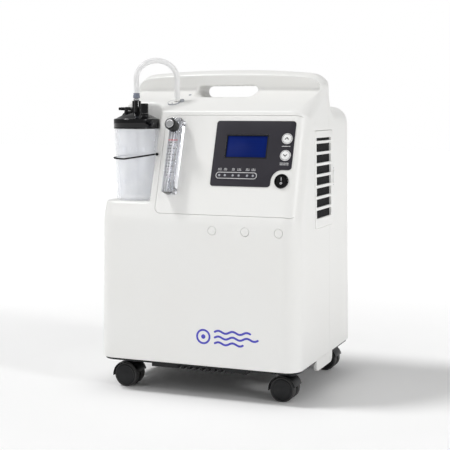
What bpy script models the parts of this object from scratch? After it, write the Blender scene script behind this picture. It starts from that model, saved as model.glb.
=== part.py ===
"""Oxygen concentrator: a wheeled cabinet with a bottle recess, a sloping control panel and a humidifier.

Sizes are written in millimetres and become metres when a mesh is made. The origin is on the floor under
the middle of the cabinet, the front faces -Y and +Z is up.
"""

import math

import bmesh
import bpy
import numpy as np
from mathutils import Matrix, Vector

MM = 0.001
GAP = 0.3

# Cabinet
HALF_WIDTH = 198.0
FRONT_Y = -177.5
REAR_Y = 177.5
SHELL_BOTTOM = 61.5
CREASE_Z = 326.0
LEAN_SLOPE = 0.335
LEDGE_Z = 524.0
LEDGE_Y = FRONT_Y + LEAN_SLOPE * (LEDGE_Z - CREASE_Z)
REAR_TOP = 531.0
HANDLE_TOP = 600.0
SIDE_DRAFT = 0.015
CORNER_RADIUS = 32.0
WALL = 3.0
SEAM_Y = 21.0
SEAM_GAP = 0.6

# Carrying handle
LEDGE_SLOPE = 0.39
SCOOP_BACK_Y = -12.0
SCOOP_LIP_Y = -20.0
SLOT_HALF_LENGTH = 62.0
SLOT_BOTTOM = 549.0
SLOT_TOP = 571.0

# Bottle recess and humidifier
RECESS_X = -94.5
RECESS_Y = -73.0
RECESS_FLOOR = 357.0
BOTTLE_X = -140.5
BOTTLE_Y = -121.5
BOTTLE_CLEARANCE_RADIUS = 46.0
JAR_FOOT_RADIUS = 38.8
JAR_TOP_RADIUS = 41.2
JAR_SHOULDER = 489.6
JAR_NECK_RADIUS = 39.6
LID_RADIUS = 43.0
LID_BOTTOM = 490.2
LID_SHOULDER = 508.5
DOME_TOP = 521.0
RELIEF_X, RELIEF_Y = -117.5, -135.5
NOZZLE_Z = 527.0

# Hose from the bottle's inlet nut to the outlet on the ledge
HOSE_RADIUS = 5.0
HOSE_START = 556.7
HOSE_SPRING = 583.0
HOSE_TOP = 617.0
HOSE_END = 546.0
NIPPLE_X, NIPPLE_Y = -79.5, -72.0
FLANGE_X, FLANGE_Y = -85.0, -76.0

# Elastic bottle strap; its two fixings are given by X and Z
STRAP_RADIUS = 1.5
STRAP_RING = 42.6
STRAP_FRONT = (-90.5, 443.5)
STRAP_REAR = (-165.0, 441.0)

# Control panel, in distances along the slope (S) from the crease
FASCIA_LEFT, FASCIA_RIGHT = -81.0, 188.0
FASCIA_BOTTOM_S, FASCIA_TOP_S = 12.7, 199.3
SWITCH_X, SWITCH_S = 157.0, 78.0
BUTTON_X = 159.0
BUTTON_UP_S, BUTTON_DOWN_S = 156.1, 125.2
BUTTON_RADIUS = 9.8
FLOW_LEFT, FLOW_RIGHT = -62.0, -41.0
FLOW_BOTTOM_S, FLOW_TOP_S = 47.5, 187.6
FLOW_DEPTH = 23.0
KNOB_X, KNOB_S = -52.5, 169.5
KNOB_RADIUS = 10.5
BORE_X = -51.5
BORE_RADIUS = 3.6
BORE_OUT = 12.0
FLOAT_REST_S = 66.0
FLOAT_RADIUS = 3.2
LCD = (44.0, 123.6, 119.2, 162.4)
LED_BAR = (31.0, 110.0, 80.2, 92.8)
OVERLAY_FRONT = 1.1
ROCKER_HALF_SWING = 7.0
ROCKER_PIN_DEPTH = 0.2

# Caps over the front fixing screws, and the mains inlet at the rear (X, Z)
PLUG_XS = (34.5, 97.4, 160.3)
PLUG_Z = 310.0
INLET_PLACE = (118.0, 118.0)

# Right side filter door
DOOR_FRONT, DOOR_BACK = -68.0, 42.0
DOOR_BOTTOM, DOOR_TOP = 308.0, 487.0
SLOT_PITCH = 20.4
SLOT_HEIGHT = 15.1

# Left side exhaust cover
EXHAUST_FRONT, EXHAUST_BACK = -70.0, 50.0
EXHAUST_BOTTOM, EXHAUST_TOP = 95.0, 209.0

# Casters
WHEEL_RADIUS = 23.0
CASTER_TRAIL = 10.0
CASTER_X = 157.0
CASTER_FRONT_Y = -126.0
CASTER_REAR_Y = 139.0
TRAY_BOTTOM = 58.0
TRAY_TOP = 64.0
SOCKET_TOP = 82.0

# Inside
FLOOR = TRAY_TOP + GAP
DECK_Z = 262.0
FAN_X, FAN_Y = 45.0, 0.0

LEAN = math.atan(LEAN_SLOPE)

COLOURS = {
    "white_abs": ((0.87, 0.87, 0.86), 0.38, 0.0),
    "grey_abs": ((0.62, 0.63, 0.64), 0.4, 0.0),
    "black_abs": ((0.012, 0.012, 0.014), 0.28, 0.0),
    "panel_film": ((0.035, 0.033, 0.042), 0.3, 0.0),
    "lcd": ((0.005, 0.012, 0.11), 0.08, 0.0),
    "clear_acrylic": ((0.75, 0.8, 0.83), 0.06, 0.0),
    "frosted_jar": ((0.86, 0.88, 0.9), 0.35, 0.0),
    "silicone": ((0.85, 0.86, 0.86), 0.4, 0.0),
    "rubber": ((0.02, 0.02, 0.02), 0.7, 0.0),
    "chrome": ((0.8, 0.8, 0.8), 0.1, 1.0),
    "nut_grey": ((0.2, 0.22, 0.27), 0.4, 0.0),
    "aluminium": ((0.7, 0.7, 0.71), 0.35, 1.0),
    "steel": ((0.45, 0.46, 0.47), 0.4, 1.0),
    "foam": ((0.015, 0.015, 0.017), 0.95, 0.0),
    "circuit": ((0.02, 0.12, 0.05), 0.5, 0.0),
}


def clear_scene():
    """Remove every object that is in the file at the start."""
    for obj in list(bpy.data.objects):
        bpy.data.objects.remove(obj, do_unlink=True)


def material(key, name):
    """A Principled material of its own for one piece."""
    colour, roughness, metallic = COLOURS[key]
    made = bpy.data.materials.new(f"{name}_{key}")
    made.use_nodes = True
    shader = made.node_tree.nodes["Principled BSDF"]
    shader.inputs["Base Color"].default_value = (*colour, 1.0)
    shader.inputs["Roughness"].default_value = roughness
    shader.inputs["Metallic"].default_value = metallic
    return made


def make_object(name, points, faces, key=None):
    """A mesh object from points in millimetres, with its faces turned outwards."""
    mesh = bpy.data.meshes.new(name)
    mesh.from_pydata([tuple(c * MM for c in p) for p in points], [], faces)
    shape = bmesh.new()
    shape.from_mesh(mesh)
    bmesh.ops.remove_doubles(shape, verts=shape.verts, dist=1e-7)
    bmesh.ops.recalc_face_normals(shape, faces=shape.faces)
    shape.to_mesh(mesh)
    shape.free()
    obj = bpy.data.objects.new(name, mesh)
    bpy.context.collection.objects.link(obj)
    if key:
        mesh.materials.append(material(key, name))
    return obj


def loft(name, rings, key=None):
    """A closed solid through a stack of rings that all have the same number of points."""
    count = len(rings[0])
    points = [p for ring in rings for p in ring]
    faces = [list(range(count))[::-1], [len(points) - count + i for i in range(count)]]
    for level in range(len(rings) - 1):
        base = level * count
        for i in range(count):
            j = (i + 1) % count
            faces.append((base + i, base + j, base + count + j, base + count + i))
    return make_object(name, points, faces, key)


def rounded_rectangle(x0, x1, y0, y1, front_radius, rear_radius, segments=6):
    """Plan outline with round corners; the corners at y0 take front_radius, those at y1 rear_radius."""
    corners = (
        (x1 - front_radius, y0 + front_radius, front_radius, -90),
        (x1 - rear_radius, y1 - rear_radius, rear_radius, 0),
        (x0 + rear_radius, y1 - rear_radius, rear_radius, 90),
        (x0 + front_radius, y0 + front_radius, front_radius, 180),
    )
    outline = []
    for cx, cy, radius, start in corners:
        for i in range(segments + 1):
            angle = math.radians(start + 90.0 * i / segments)
            outline.append((cx + radius * math.cos(angle), cy + radius * math.sin(angle)))
    return outline


def prism(name, outline, low, high, axis="Z", key=None):
    """Extrude a flat outline from low to high along an axis.

    The outline's two numbers are X,Y for Z, X,Z for Y and Y,Z for X.
    """
    def lift(p, level):
        if axis == "Z":
            return (p[0], p[1], level)
        if axis == "Y":
            return (p[0], level, p[1])
        return (level, p[0], p[1])

    return loft(name, [[lift(p, low) for p in outline], [lift(p, high) for p in outline]], key)


def box(name, low, high, key=None):
    """A plain block between two corners."""
    outline = [(low[0], low[1]), (high[0], low[1]), (high[0], high[1]), (low[0], high[1])]
    return prism(name, outline, low[2], high[2], "Z", key)


def disc_outline(radius, segments, centre=(0.0, 0.0)):
    """A round outline."""
    return [
        (
            centre[0] + radius * math.cos(2 * math.pi * i / segments),
            centre[1] + radius * math.sin(2 * math.pi * i / segments),
        )
        for i in range(segments)
    ]


def lathe(name, profile, segments=32, key=None):
    """Turn a profile of (radius, height) about Z; a radius of 0 closes on the axis.

    A profile that starts and ends off the axis is closed into a ring.
    """
    points, faces, rows = [], [], []
    for radius, height in profile:
        if radius == 0:
            rows.append([len(points)] * segments)
            points.append((0.0, 0.0, height))
            continue
        rows.append([len(points) + i for i in range(segments)])
        points += [(x, y, height) for x, y in disc_outline(radius, segments)]
    closed = profile[0][0] > 0 and profile[-1][0] > 0
    for k in range(len(rows) if closed else len(rows) - 1):
        low, high = rows[k], rows[(k + 1) % len(rows)]
        for i in range(segments):
            j = (i + 1) % segments
            face = []
            for corner in (low[i], low[j], high[j], high[i]):
                if corner not in face:
                    face.append(corner)
            if len(face) > 2:
                faces.append(face)
    return make_object(name, points, faces, key)


def boolean(target, cutter, operation="DIFFERENCE", keep=False):
    """Cut, join or intersect target with cutter and store the result in target's mesh."""
    modifier = target.modifiers.new("step", "BOOLEAN")
    modifier.operation = operation
    modifier.object = cutter
    modifier.solver = "EXACT"
    graph = bpy.context.evaluated_depsgraph_get()
    mesh = bpy.data.meshes.new_from_object(target.evaluated_get(graph))
    target.modifiers.remove(modifier)
    target.data = mesh
    if not keep:
        bpy.data.objects.remove(cutter, do_unlink=True)
    return target


def join_all(target, *others):
    """Union several solids into target."""
    for other in others:
        boolean(target, other, "UNION")
    return target


def duplicate(obj, name):
    """A copy of a solid with its own mesh."""
    copy = obj.copy()
    copy.data = obj.data.copy()
    copy.name = name
    bpy.context.collection.objects.link(copy)
    return copy


def bake_transform(obj, matrix):
    """Move the mesh itself by a matrix whose shift is in millimetres."""
    scaled = matrix.copy()
    scaled.translation = matrix.translation * MM
    obj.data.transform(scaled)
    return obj


def at(obj, x, y, z):
    """Shift a mesh in millimetres."""
    return bake_transform(obj, Matrix.Translation(Vector((x, y, z))))


def set_origin(obj, point):
    """Put the object's origin at a point given in millimetres, leaving the shape where it is."""
    origin = Vector(point) * MM
    obj.data.transform(Matrix.Translation(-origin))
    obj.location = origin
    return obj


def finish(obj, key, angle=40.0):
    """Clean the mesh, give it its own material and shade its round faces smooth."""
    shape = bmesh.new()
    shape.from_mesh(obj.data)
    bmesh.ops.remove_doubles(shape, verts=shape.verts, dist=1e-6)
    bmesh.ops.dissolve_degenerate(shape, edges=shape.edges, dist=1e-6)
    shape.to_mesh(obj.data)
    shape.free()
    obj.data.materials.clear()
    obj.data.materials.append(material(key, obj.name))
    obj.data.shade_smooth()
    obj.data.set_sharp_from_angle(angle=math.radians(angle))
    return obj


def from_panel(obj):
    """Turn a piece drawn in panel terms (X, -distance out, distance up the slope) into place."""
    turn = Matrix.Rotation(-LEAN, 4, "X")
    return bake_transform(obj, Matrix.Translation(Vector((0, FRONT_Y, CREASE_Z))) @ turn)


def panel_point(x, out, along):
    """World place of a point given in panel terms."""
    return (
        x,
        FRONT_Y + along * math.sin(LEAN) - out * math.cos(LEAN),
        CREASE_Z + along * math.cos(LEAN) + out * math.sin(LEAN),
    )


# ---------------------------------------------------------------- cabinet outlines

FRONT_PROFILE = (
    (FRONT_Y, SHELL_BOTTOM),
    (FRONT_Y, CREASE_Z),
    (LEDGE_Y, LEDGE_Z),
    (-76.0, 540.0),
    (-41.0, 561.0),
    (-28.0, 576.0),
    (SCOOP_LIP_Y, 588.0),
    (-12.0, 595.0),
    (-2.0, 599.0),
    (6.0, HANDLE_TOP),
)
REAR_PROFILE = (
    (REAR_Y, SHELL_BOTTOM),
    (175.0, 490.0),
    (173.0, 506.0),
    (168.0, 518.0),
    (158.0, 527.0),
    (144.0, REAR_TOP),
    (80.0, REAR_TOP + 0.8),
    (62.0, 536.0),
    (53.0, 545.0),
    (48.5, 558.0),
    (46.0, 575.0),
    (43.0, 588.0),
    (37.0, 595.0),
    (29.0, 599.0),
    (22.0, HANDLE_TOP),
)
SIDE_PROFILE = (
    (HALF_WIDTH, SHELL_BOTTOM),
    (HALF_WIDTH - SIDE_DRAFT * (556.0 - SHELL_BOTTOM), 556.0),
    (189.0, 566.0),
    (185.5, 576.0),
    (179.0, 584.0),
    (168.0, 589.5),
    (148.0, 592.5),
    (118.0, 595.5),
    (80.0, 598.0),
    (40.0, 599.5),
    (22.0, HANDLE_TOP),
)


def inset(profile, depth, inward):
    """Shift a profile by depth towards the solid's inside; inward is +1 for the front, -1 otherwise."""
    points = np.array(profile)
    steps = np.diff(points, axis=0)
    steps /= np.linalg.norm(steps, axis=1)[:, None]
    normals = np.stack([steps[:, 1], -steps[:, 0]], axis=1) * inward
    before = np.vstack([normals[:1], normals])
    after = np.vstack([normals, normals[-1:]])
    mean = before + after
    mean /= np.linalg.norm(mean, axis=1)[:, None]
    reach = np.clip(np.sum(mean * before, axis=1), 0.6, 1.0)
    shifted = points + mean * (depth / reach)[:, None]
    shifted[:, 1] = np.maximum.accumulate(shifted[:, 1] + np.arange(len(points)) * 1e-4)
    return shifted


def cabinet_body(name, depth):
    """The cabinet's outer form, or the form of its inside when depth is more than 0."""
    front = inset(FRONT_PROFILE, depth, 1)
    rear = inset(REAR_PROFILE, depth, -1)
    side = inset(SIDE_PROFILE, depth, -1)
    if depth:
        for profile in (front, rear, side):
            profile[0, 1] = SHELL_BOTTOM - 30.0
    top = min(front[-1, 1], rear[-1, 1], side[-1, 1])
    levels = np.unique(np.round(np.concatenate([front[:, 1], rear[:, 1], side[:, 1]]), 2))
    levels = [z for z in levels if z < top - 0.05] + [top]
    rings = []
    for z in levels:
        y0 = float(np.interp(z, front[:, 1], front[:, 0]))
        y1 = float(np.interp(z, rear[:, 1], rear[:, 0]))
        half = float(np.interp(z, side[:, 1], side[:, 0]))
        radius = min(CORNER_RADIUS - depth, 0.45 * (y1 - y0))
        rings.append([(x, y, z) for x, y in rounded_rectangle(-half, half, y0, y1, radius, radius)])
    return loft(name, rings)


def scoop_cutter(name, extra):
    """The hollow in front of the handle, grown by extra on every side."""
    outline = (
        (516.0, 148.0), (524.0, 162.0), (532.0, 172.0), (542.0, 180.0), (554.0, 184.0),
        (566.0, 185.0), (576.0, 181.0), (584.0, 172.0), (590.0, 158.0), (612.0, 158.0),
    )
    rings = []
    for z, half in outline:
        on_ledge = LEDGE_Y + (z + extra - LEDGE_Z) / LEDGE_SLOPE
        share = min(max((z - 566.0) / 24.0, 0.0), 1.0)
        on_band = SCOOP_BACK_Y + share * (SCOOP_LIP_Y - SCOOP_BACK_Y)
        back = min(on_ledge, on_band) + (extra if on_ledge > on_band else 0.0)
        corner = min(14.0, 0.4 * (back + 175.0))
        plan = rounded_rectangle(-half - extra, half + extra, -175.0, back, 2.0, corner, 4)
        rings.append([(x, y, z) for x, y in plan])
    return loft(name, rings)


def recess_cutter(name, extra):
    """The open corner that the humidifier bottle stands in, grown by extra on every side."""
    outline = [(-260.0, -260.0), (RECESS_X + extra, -260.0)]
    radius = BOTTLE_CLEARANCE_RADIUS
    centre_x = RECESS_X - radius
    centre_y = RECESS_Y - radius
    for i in range(9):
        angle = math.radians(90.0 * i / 8)
        outline.append(
            (
                centre_x + (radius + extra) * math.cos(angle),
                centre_y + (radius + extra) * math.sin(angle),
            )
        )
    outline.append((-260.0, RECESS_Y + extra))
    return prism(name, outline, RECESS_FLOOR - extra, 660.0)


def slot_cutter(name, extra):
    """The hand hole through the handle."""
    half = SLOT_HALF_LENGTH + extra
    height = (SLOT_TOP - SLOT_BOTTOM) / 2 + extra
    middle = (SLOT_TOP + SLOT_BOTTOM) / 2
    outline = rounded_rectangle(
        -half, half, middle - height, middle + height, height - 0.01, height - 0.01, 6
    )
    return prism(name, outline, -130.0, 120.0, "Y")


def side_lobes():
    """The low rounded skirts between the casters on both sides."""
    lobes = []
    for sign in (-1, 1):
        outline = rounded_rectangle(-60.0, 41.0, 40.0, 80.0, 12.0, 2.0, 4)
        inner, outer = sign * 186.0, sign * (HALF_WIDTH - 0.4)
        lobes.append(prism("lobe", outline, min(inner, outer), max(inner, outer), "X"))
    return lobes


def cabinet_skin():
    """Outer form with recess, scoop, slot and skirts, hollowed to an even wall."""
    skin = cabinet_body("skin", 0.0)
    join_all(skin, *side_lobes())
    inside = cabinet_body("inside", WALL)
    for maker in (scoop_cutter, recess_cutter, slot_cutter):
        boolean(skin, maker("cutter", 0.0))
        boolean(inside, maker("cutter", WALL))
    boolean(skin, inside)
    return skin


def fascia_prism(name, extra):
    """The outline of the control fascia carried through the sloping wall."""
    outline = rounded_rectangle(
        FASCIA_LEFT - extra, FASCIA_RIGHT + extra, FASCIA_BOTTOM_S - extra, FASCIA_TOP_S + extra,
        12.0 + extra, 12.0 + extra, 4,
    )
    return from_panel(prism(name, outline, -7.0, 16.0, "Y"))


def side_wall_x(z):
    """Outer face of the drafted side walls at a height."""
    return HALF_WIDTH - SIDE_DRAFT * (z - SHELL_BOTTOM)


def shells_and_fascia():
    """Split the skin at the seam and lift the control fascia out of the front half."""
    skin = cabinet_skin()
    fascia = duplicate(skin, "control_fascia")
    boolean(fascia, fascia_prism("cutter", 0.0), "INTERSECT")
    boolean(skin, fascia_prism("cutter", GAP))
    door_hole = box(
        "cutter",
        (150.0, DOOR_FRONT - 0.5, DOOR_BOTTOM - 0.5),
        (230.0, DOOR_BACK + 0.5, DOOR_TOP + 0.5),
    )
    boolean(skin, door_hole)
    exhaust_hole = box(
        "cutter",
        (-230.0, EXHAUST_FRONT - 0.5, EXHAUST_BOTTOM - 0.5),
        (-170.0, EXHAUST_BACK + 0.5, EXHAUST_TOP + 0.5),
    )
    boolean(skin, exhaust_hole)
    for x in PLUG_XS:
        boolean(skin, prism("cutter", disc_outline(7.8, 20, (x, PLUG_Z)), -190.0, -160.0, "Y"))
    rear = duplicate(skin, "rear_shell")
    boolean(rear, box("cutter", (-300, -300, 0), (300, SEAM_Y + SEAM_GAP / 2, 700)))
    inlet = INLET_PLACE
    boolean(
        rear,
        box(
            "cutter",
            (inlet[0] - 24.5, 150.0, inlet[1] - 14.5),
            (inlet[0] + 24.5, 200.0, inlet[1] + 14.5),
        ),
    )
    front = duplicate(skin, "front_shell")
    boolean(front, box("cutter", (-300, SEAM_Y - SEAM_GAP / 2, 0), (300, 300, 700)))
    bpy.data.objects.remove(skin, do_unlink=True)
    finish(front, "white_abs")
    finish(rear, "white_abs")
    cut_fascia_openings(fascia)
    finish(fascia, "white_abs")


# ---------------------------------------------------------------- control panel


def panel_cylinder(name, x, along, radius, back, front, segments=32, key=None):
    """A round bar square to the panel, from back to front out of its surface."""
    outline = disc_outline(radius, segments, (x, along))
    return from_panel(prism(name, outline, -front, -back, "Y", key))


def panel_box(name, x0, x1, s0, s1, back, front, radius=0.0, key=None):
    """A block on the panel, with round corners when a radius is given."""
    if radius:
        outline = rounded_rectangle(x0, x1, s0, s1, radius, radius, 4)
    else:
        outline = [(x0, s0), (x1, s0), (x1, s1), (x0, s1)]
    return from_panel(prism(name, outline, -front, -back, "Y", key))


def cut_fascia_openings(fascia):
    """Open the fascia for the display, the two keys and the mains switch."""
    clear = 0.4
    boolean(fascia, panel_box("cutter", LCD[0] - clear, LCD[1] + clear, LCD[2] - clear,
                              LCD[3] + clear, -20.0, 10.0))
    for along in (BUTTON_UP_S, BUTTON_DOWN_S):
        boolean(fascia, panel_cylinder("cutter", BUTTON_X, along, BUTTON_RADIUS + clear, -20.0, 10.0))
    boolean(fascia, panel_cylinder("cutter", SWITCH_X, SWITCH_S, 12.0, -20.0, 10.0))


def display_overlay():
    """The dark film around display and keys, notched round the mains switch."""
    film = panel_box("display_overlay", 22.0, 172.5, 66.4, 188.8, GAP, OVERLAY_FRONT, 5.0)
    clear = 0.4
    boolean(film, panel_cylinder("cutter", SWITCH_X, SWITCH_S, 20.5, -2.0, 5.0, 40))
    boolean(film, panel_box("cutter", 136.5, 180.0, 50.0, SWITCH_S, -2.0, 5.0))
    boolean(film, panel_box("cutter", SWITCH_X, 180.0, 50.0, 99.0, -2.0, 5.0))
    boolean(film, panel_box("cutter", LCD[0] - clear, LCD[1] + clear, LCD[2] - clear,
                            LCD[3] + clear, -2.0, 5.0))
    boolean(film, panel_box("cutter", LED_BAR[0] - clear, LED_BAR[1] + clear, LED_BAR[2] - clear,
                            LED_BAR[3] + clear, -2.0, 5.0))
    for along in (BUTTON_UP_S, BUTTON_DOWN_S):
        boolean(film, panel_cylinder("cutter", BUTTON_X, along, BUTTON_RADIUS + clear, -2.0, 5.0))
    finish(film, "panel_film")
    finish(panel_box("lcd_window", *LCD, -6.0, 0.9), "lcd")
    finish(panel_box("led_bar", *LED_BAR, GAP, 0.9, 2.0), "panel_film")


def keys():
    """Two push keys that travel straight into the panel."""
    for name, along in (("button_up", BUTTON_UP_S), ("button_down", BUTTON_DOWN_S)):
        key_cap = panel_cylinder(name, BUTTON_X, along, BUTTON_RADIUS, -7.0, 1.9, 28)
        finish(key_cap, "grey_abs")
        set_origin(key_cap, panel_point(BUTTON_X, 0.0, along))


def mains_switch():
    """Round bezel with a rocker on a cross pin."""
    bezel = panel_cylinder("switch_bezel", SWITCH_X, SWITCH_S, 13.2, GAP, 3.0, 36)
    join_all(bezel, panel_cylinder("barrel", SWITCH_X, SWITCH_S, 11.6, -16.0, 1.0, 36))
    boolean(bezel, panel_cylinder("cutter", SWITCH_X, SWITCH_S, 10.4, -13.0, 9.0, 36))
    finish(bezel, "black_abs")
    rocker = prism("switch_rocker", disc_outline(9.4, 32), -3.2, 3.2, "Y")
    tilt = Matrix.Rotation(math.radians(-ROCKER_HALF_SWING), 4, "X")
    bake_transform(rocker, tilt)
    at(rocker, SWITCH_X, ROCKER_PIN_DEPTH, SWITCH_S)
    from_panel(rocker)
    finish(rocker, "black_abs")
    set_origin(rocker, panel_point(SWITCH_X, -ROCKER_PIN_DEPTH, SWITCH_S))


def flowmeter():
    """Clear block with a tapered bore, its ball, the seat below it and the needle valve knob."""
    block = panel_box("flowmeter_block", FLOW_LEFT, FLOW_RIGHT, FLOW_BOTTOM_S, FLOW_TOP_S, GAP,
                      FLOW_DEPTH, 1.5)
    bore = prism("cutter", disc_outline(BORE_RADIUS, 20, (BORE_X, -BORE_OUT)), 40.0, 160.0, "Z")
    boolean(block, from_panel(bore))
    boolean(block, panel_cylinder("cutter", KNOB_X, KNOB_S, 4.4, 13.0, 40.0, 20))
    finish(block, "clear_acrylic")
    ball = lathe("flow_float", [(0, -FLOAT_RADIUS)] + [
        (FLOAT_RADIUS * math.sin(math.pi * i / 8), -FLOAT_RADIUS * math.cos(math.pi * i / 8))
        for i in range(1, 8)
    ] + [(0, FLOAT_RADIUS)], 16)
    at(ball, BORE_X, -BORE_OUT, FLOAT_REST_S + FLOAT_RADIUS + GAP)
    finish(from_panel(ball), "steel")
    set_origin(ball, panel_point(BORE_X, BORE_OUT, FLOAT_REST_S + FLOAT_RADIUS + GAP))
    seat = prism("flow_seat", disc_outline(BORE_RADIUS - GAP, 20, (BORE_X, -BORE_OUT)),
                 FLOW_BOTTOM_S + 0.5, FLOAT_REST_S, "Z")
    finish(from_panel(seat), "nut_grey")
    knob = panel_cylinder("flow_knob", KNOB_X, KNOB_S, KNOB_RADIUS, FLOW_DEPTH + 0.5, 45.0, 36)
    join_all(knob, panel_cylinder("stem", KNOB_X, KNOB_S, 3.9, 14.0, 30.0, 20))
    boolean(knob, panel_cylinder("cutter", KNOB_X, KNOB_S, 8.3, 43.2, 50.0, 32))
    finish(knob, "black_abs")
    set_origin(knob, panel_point(KNOB_X, FLOW_DEPTH, KNOB_S))
    cap = panel_cylinder("knob_cap", KNOB_X, KNOB_S, 8.0, 43.5, 46.2, 32)
    finish(cap, "chrome")
    set_origin(cap, panel_point(KNOB_X, FLOW_DEPTH, KNOB_S))


def front_plugs():
    """Three flush caps over the front fixing screws."""
    for number, x in enumerate(PLUG_XS, 1):
        plug = prism(f"screw_plug_{number}", disc_outline(7.5, 24, (x, PLUG_Z)),
                     FRONT_Y - 0.4, FRONT_Y + 6.0, "Y")
        finish(plug, "white_abs")


# ---------------------------------------------------------------- side covers

def louvre_rows(low, pitch, height, count):
    """Bottom and top of a stack of equal slots."""
    return [(low + i * pitch, low + i * pitch + height) for i in range(count)]


def filter_door():
    """Slotted intake cover with its foam, and the catch beside it."""
    tilt = Matrix.Rotation(-math.atan(SIDE_DRAFT), 4, "Y")
    middle = (DOOR_BOTTOM + DOOR_TOP) / 2
    face = side_wall_x(middle)
    outline = rounded_rectangle(DOOR_FRONT, DOOR_BACK, DOOR_BOTTOM - middle, DOOR_TOP - middle,
                                2.0, 8.0, 4)
    door = prism("filter_door", outline, -2.8, 1.0, "X")
    rows = louvre_rows(326.0 - middle, SLOT_PITCH, SLOT_HEIGHT, 7) + [(468.6 - middle, 474.0 - middle)]
    for low, high in rows:
        boolean(door, box("cutter", (-10.0, -61.5, low), (10.0, 31.0, high)))
    bake_transform(door, Matrix.Translation(Vector((face, 0, middle))) @ tilt)
    finish(door, "white_abs")
    set_origin(door, (face, 0, middle))
    foam = box("filter_foam", (-14.5, DOOR_FRONT + 2, DOOR_BOTTOM - middle + 3),
               (-3.2, DOOR_BACK - 2, DOOR_TOP - middle - 3))
    bake_transform(foam, Matrix.Translation(Vector((face, 0, middle))) @ tilt)
    finish(foam, "foam")
    latch_z = 398.5
    latch = box("door_latch", (GAP, 46.5, -12.5), (1.9, 56.0, 12.5))
    bake_transform(latch, Matrix.Translation(Vector((side_wall_x(latch_z), 0, latch_z))) @ tilt)
    finish(latch, "grey_abs")
    set_origin(latch, (side_wall_x(latch_z), 51.0, latch_z))


def exhaust_cover():
    """Louvred outlet cover let into the left side wall."""
    middle = (EXHAUST_BOTTOM + EXHAUST_TOP) / 2
    half = (EXHAUST_TOP - EXHAUST_BOTTOM) / 2
    outline = rounded_rectangle(EXHAUST_FRONT, EXHAUST_BACK, -half, half, 6.0, 6.0, 4)
    cover = prism("exhaust_cover", outline, -0.8, 2.6, "X")
    for low, high in louvre_rows(-44.0, 16.0, 8.0, 6):
        boolean(cover, box("cutter", (-10.0, -58.0, low), (10.0, 38.0, high)))
    tilt = Matrix.Rotation(math.atan(SIDE_DRAFT), 4, "Y")
    bake_transform(cover, Matrix.Translation(Vector((-side_wall_x(middle), 0, middle))) @ tilt)
    finish(cover, "white_abs")


# ---------------------------------------------------------------- humidifier and hose

def bottle():
    """Screw-top humidifier bottle with its dip tube."""
    foot = RECESS_FLOOR + GAP
    wall = 2.2
    jar = lathe("humidifier_jar", [
        (0, foot + 2.0), (30.0, foot + 2.0), (31.5, foot), (JAR_FOOT_RADIUS - 3, foot),
        (JAR_FOOT_RADIUS, foot + 4), (JAR_TOP_RADIUS, JAR_SHOULDER), (JAR_NECK_RADIUS, JAR_SHOULDER),
        (JAR_NECK_RADIUS, 504.0), (JAR_NECK_RADIUS - wall, 504.0),
        (JAR_NECK_RADIUS - wall, JAR_SHOULDER - 4), (JAR_FOOT_RADIUS - wall - 1, foot + 6.0),
        (0, foot + 6.0),
    ], 28)
    at(jar, BOTTLE_X, BOTTLE_Y, 0)
    finish(jar, "frosted_jar")
    set_origin(jar, (BOTTLE_X, BOTTLE_Y, foot))
    tube = lathe("dip_tube", [(2.0, 372.0), (3.2, 372.0), (3.2, 517.0), (2.0, 517.0)], 16)
    at(tube, BOTTLE_X, BOTTLE_Y, 0)
    finish(tube, "silicone")
    set_origin(tube, (BOTTLE_X, BOTTLE_Y, 500.0))


def bottle_lid():
    """Lid with inlet post, outlet nozzle and the boss of the relief cap."""
    inner = JAR_NECK_RADIUS + 0.5
    lid = lathe("humidifier_lid", [
        (0, DOME_TOP), (12.0, DOME_TOP - 1.0), (26.0, DOME_TOP - 6.0), (38.0, LID_SHOULDER + 0.8),
        (LID_RADIUS - 1, LID_SHOULDER), (LID_RADIUS, LID_SHOULDER - 1), (LID_RADIUS, LID_BOTTOM),
        (inner, LID_BOTTOM), (inner, 505.0), (25.0, DOME_TOP - 9.0), (0, DOME_TOP - 3.2),
    ], 28)
    at(lid, BOTTLE_X, BOTTLE_Y, 0)
    post = lathe("post", [(0, 519.0), (8.2, 519.0), (8.2, 542.0), (4.0, 542.0), (4.0, 551.0), (0, 551.0)], 16)
    at(post, BOTTLE_X, BOTTLE_Y, 0)
    boss = lathe("boss", [(0, 507.0), (7.4, 507.0), (7.4, 518.4), (0, 518.4)], 16)
    at(boss, RELIEF_X, RELIEF_Y, 0)
    nozzle = lathe("nozzle", [(0, 0), (3.2, 0), (2.2, 37.0), (0, 37.0)], 10)
    bake_transform(nozzle, Matrix.Rotation(-math.pi / 2, 4, "Y"))
    at(nozzle, BOTTLE_X, BOTTLE_Y, NOZZLE_Z)
    elbow = lathe("elbow", [(0, 511.0), (3.4, 511.0), (3.4, NOZZLE_Z), (0, NOZZLE_Z)], 10)
    at(elbow, BOTTLE_X - 22.0, BOTTLE_Y, 0)
    join_all(lid, post, boss, nozzle, elbow)
    finish(lid, "black_abs")
    set_origin(lid, (BOTTLE_X, BOTTLE_Y, LID_BOTTOM))
    cap = lathe("relief_cap", [(0, 518.7), (7.2, 518.7), (7.2, 536.0), (6.2, 537.0), (0, 537.0)], 16)
    at(cap, RELIEF_X, RELIEF_Y, 0)
    finish(cap, "black_abs")
    set_origin(cap, (BOTTLE_X, BOTTLE_Y, LID_BOTTOM))
    nut = lathe("inlet_nut", [
        (4.3, 546.6), (6.4, 546.6), (6.4, 555.6), (5.4, 556.4), (0, 556.4), (0, 551.5), (4.3, 551.5),
    ], 24)
    at(nut, BOTTLE_X, BOTTLE_Y, 0)
    finish(nut, "nut_grey")
    set_origin(nut, (BOTTLE_X, BOTTLE_Y, 551.0))


def ledge_z(y):
    """Height of the sloping ledge at a distance back."""
    return LEDGE_Z + LEDGE_SLOPE * (y - LEDGE_Y)


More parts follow.
